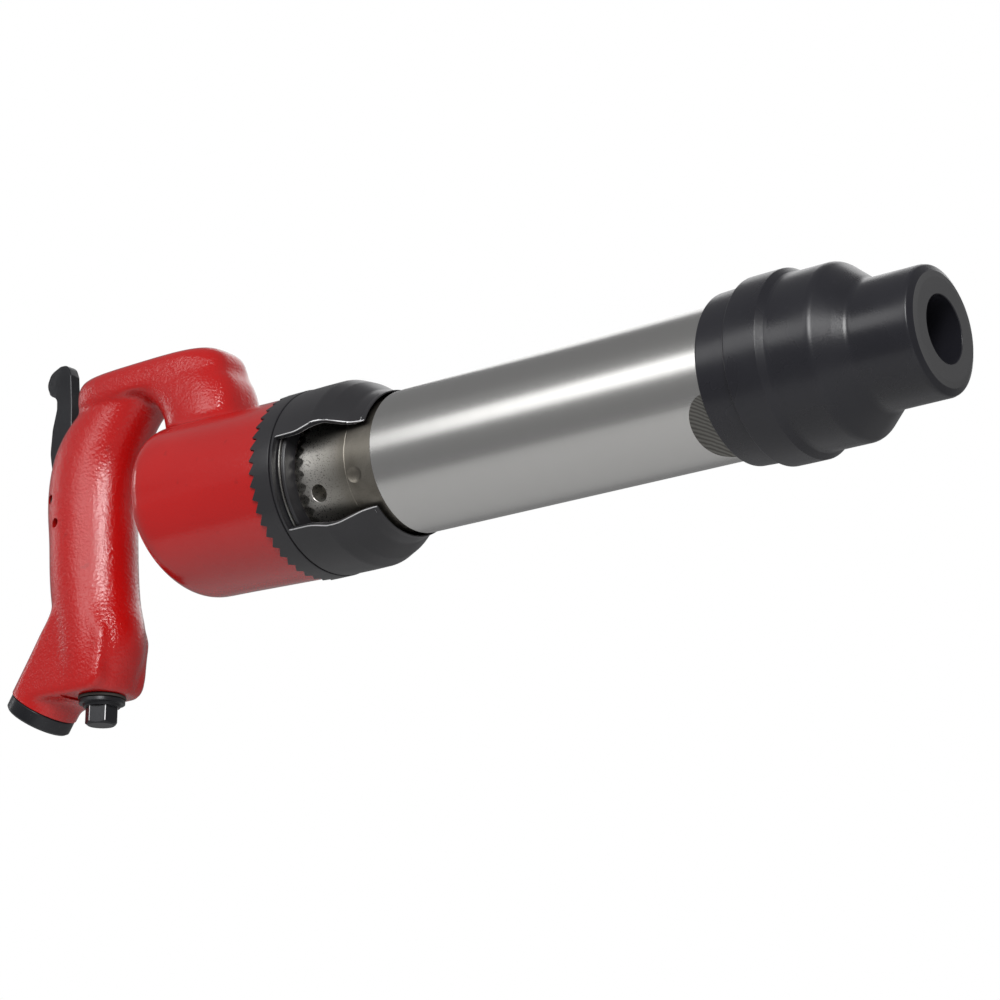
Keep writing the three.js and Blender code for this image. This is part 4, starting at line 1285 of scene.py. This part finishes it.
@dataclass
class Studio:
    """Floor, lights, surroundings and camera."""

    camera_at: Triple = (0.570045, -0.679, -0.215502)
    right: Triple = (0.7839, 0.6209, 0.0)
    up: Triple = (0.1833, -0.2314, 0.9554)
    forward: Triple = (-0.5932, 0.7490, 0.2952)
    lens: float = 96.62
    sensor: float = 36.0
    floor_at: Triple = (0.0, 2.28, -0.55)
    floor_size: tuple[float, float] = (10.0, 6.0)
    floor_colour: Triple = (0.8, 0.8, 0.8)
    surroundings: Triple = (0.24, 0.24, 0.243)
    backdrop: Triple = (1.0, 1.0, 1.0)
    lamps: tuple[Lamp, ...] = (
        Lamp("key", (-0.27, -0.95, 0.47), (-0.27, 0.0, 0.07), (1.0, 0.42), 3.0),
        Lamp("left_fill", (-1.1, -0.9, 0.8), (-0.15, 0.0, 0.07), (0.55, 1.1), 0.1),
        Lamp("front", (1.35, -1.95, 0.95), (0.0, 0.0, 0.07), (1.0, 1.0), 40.0),
        Lamp("back", (-0.36, 1.15, 0.95), (-0.1, 0.0, 0.07), (1.3, 1.0), 5.0),
        Lamp("side", (-1.6, -0.28, 0.55), (0.0, 0.0, 0.07), (0.2, 0.34), 0.6),
    )

    def _camera(self) -> None:
        """Places the camera."""
        data = bpy.data.cameras.new("camera")
        data.lens = self.lens
        data.sensor_width = self.sensor
        data.clip_start = 0.05
        data.clip_end = 60.0
        camera = linked("camera", data)
        turn = Matrix((self.right, self.up, -Vector(self.forward))).transposed().to_4x4()
        camera.matrix_world = Matrix.Translation(self.camera_at) @ turn
        bpy.context.scene.camera = camera

    def _floor(self) -> None:
        """Lays the plain pale floor."""
        sheet = Shape()
        bmesh.ops.create_grid(sheet.bm, x_segments=1, y_segments=1, size=0.5)
        sheet.moved(Matrix.Translation(self.floor_at) @ Matrix.Diagonal((*self.floor_size, 1.0, 1.0)))
        material = bpy.data.materials.new("PaleFloor")
        material.use_nodes = True
        shader = material.node_tree.nodes["Principled BSDF"]
        shader.inputs["Base Color"].default_value = (*self.floor_colour, 1.0)
        shader.inputs["Roughness"].default_value = 0.9
        made = linked("floor", sheet.copied("floor"))
        made.data.materials.append(material)

    def _world(self) -> None:
        """White behind the object, and a softer grey for what it is lit by and mirrors."""
        world = bpy.data.worlds.new("studio")
        bpy.context.scene.world = world
        world.use_nodes = True
        world.node_tree.nodes.clear()
        graph = Graph(world.node_tree)
        seen = graph.node("LightPath").outputs["Is Camera Ray"]
        around = graph.node("Background", {"Color": (*self.surroundings, 1.0)}).outputs[0]
        behind = graph.node("Background", {"Color": (*self.backdrop, 1.0)}).outputs[0]
        mix = graph.node("MixShader", {0: seen, 1: around, 2: behind})
        graph.node("OutputWorld", {"Surface": mix.outputs[0]})

    def build(self) -> None:
        """Sets the whole studio up."""
        self._camera()
        self._world()
        self._floor()
        for lamp in self.lamps:
            lamp.build()
        bpy.context.scene.view_settings.view_transform = "Standard"


def main() -> None:
    logging.basicConfig(level=logging.INFO, format="%(name)s %(message)s")
    finishes = Finishes.make()
    teeth, inlet, throttle = SawTeeth(), Inlet(), Throttle()
    handle = Handle(teeth, inlet, throttle)
    for part in (LockRing(teeth), Barrel(), NoseBoot(), ExhaustDeflector(), inlet, throttle, handle, Internals()):
        part.build(finishes)
        log.info("%s built", type(part).__name__)
    Studio().build()


if __name__ == "__main__":
    main()
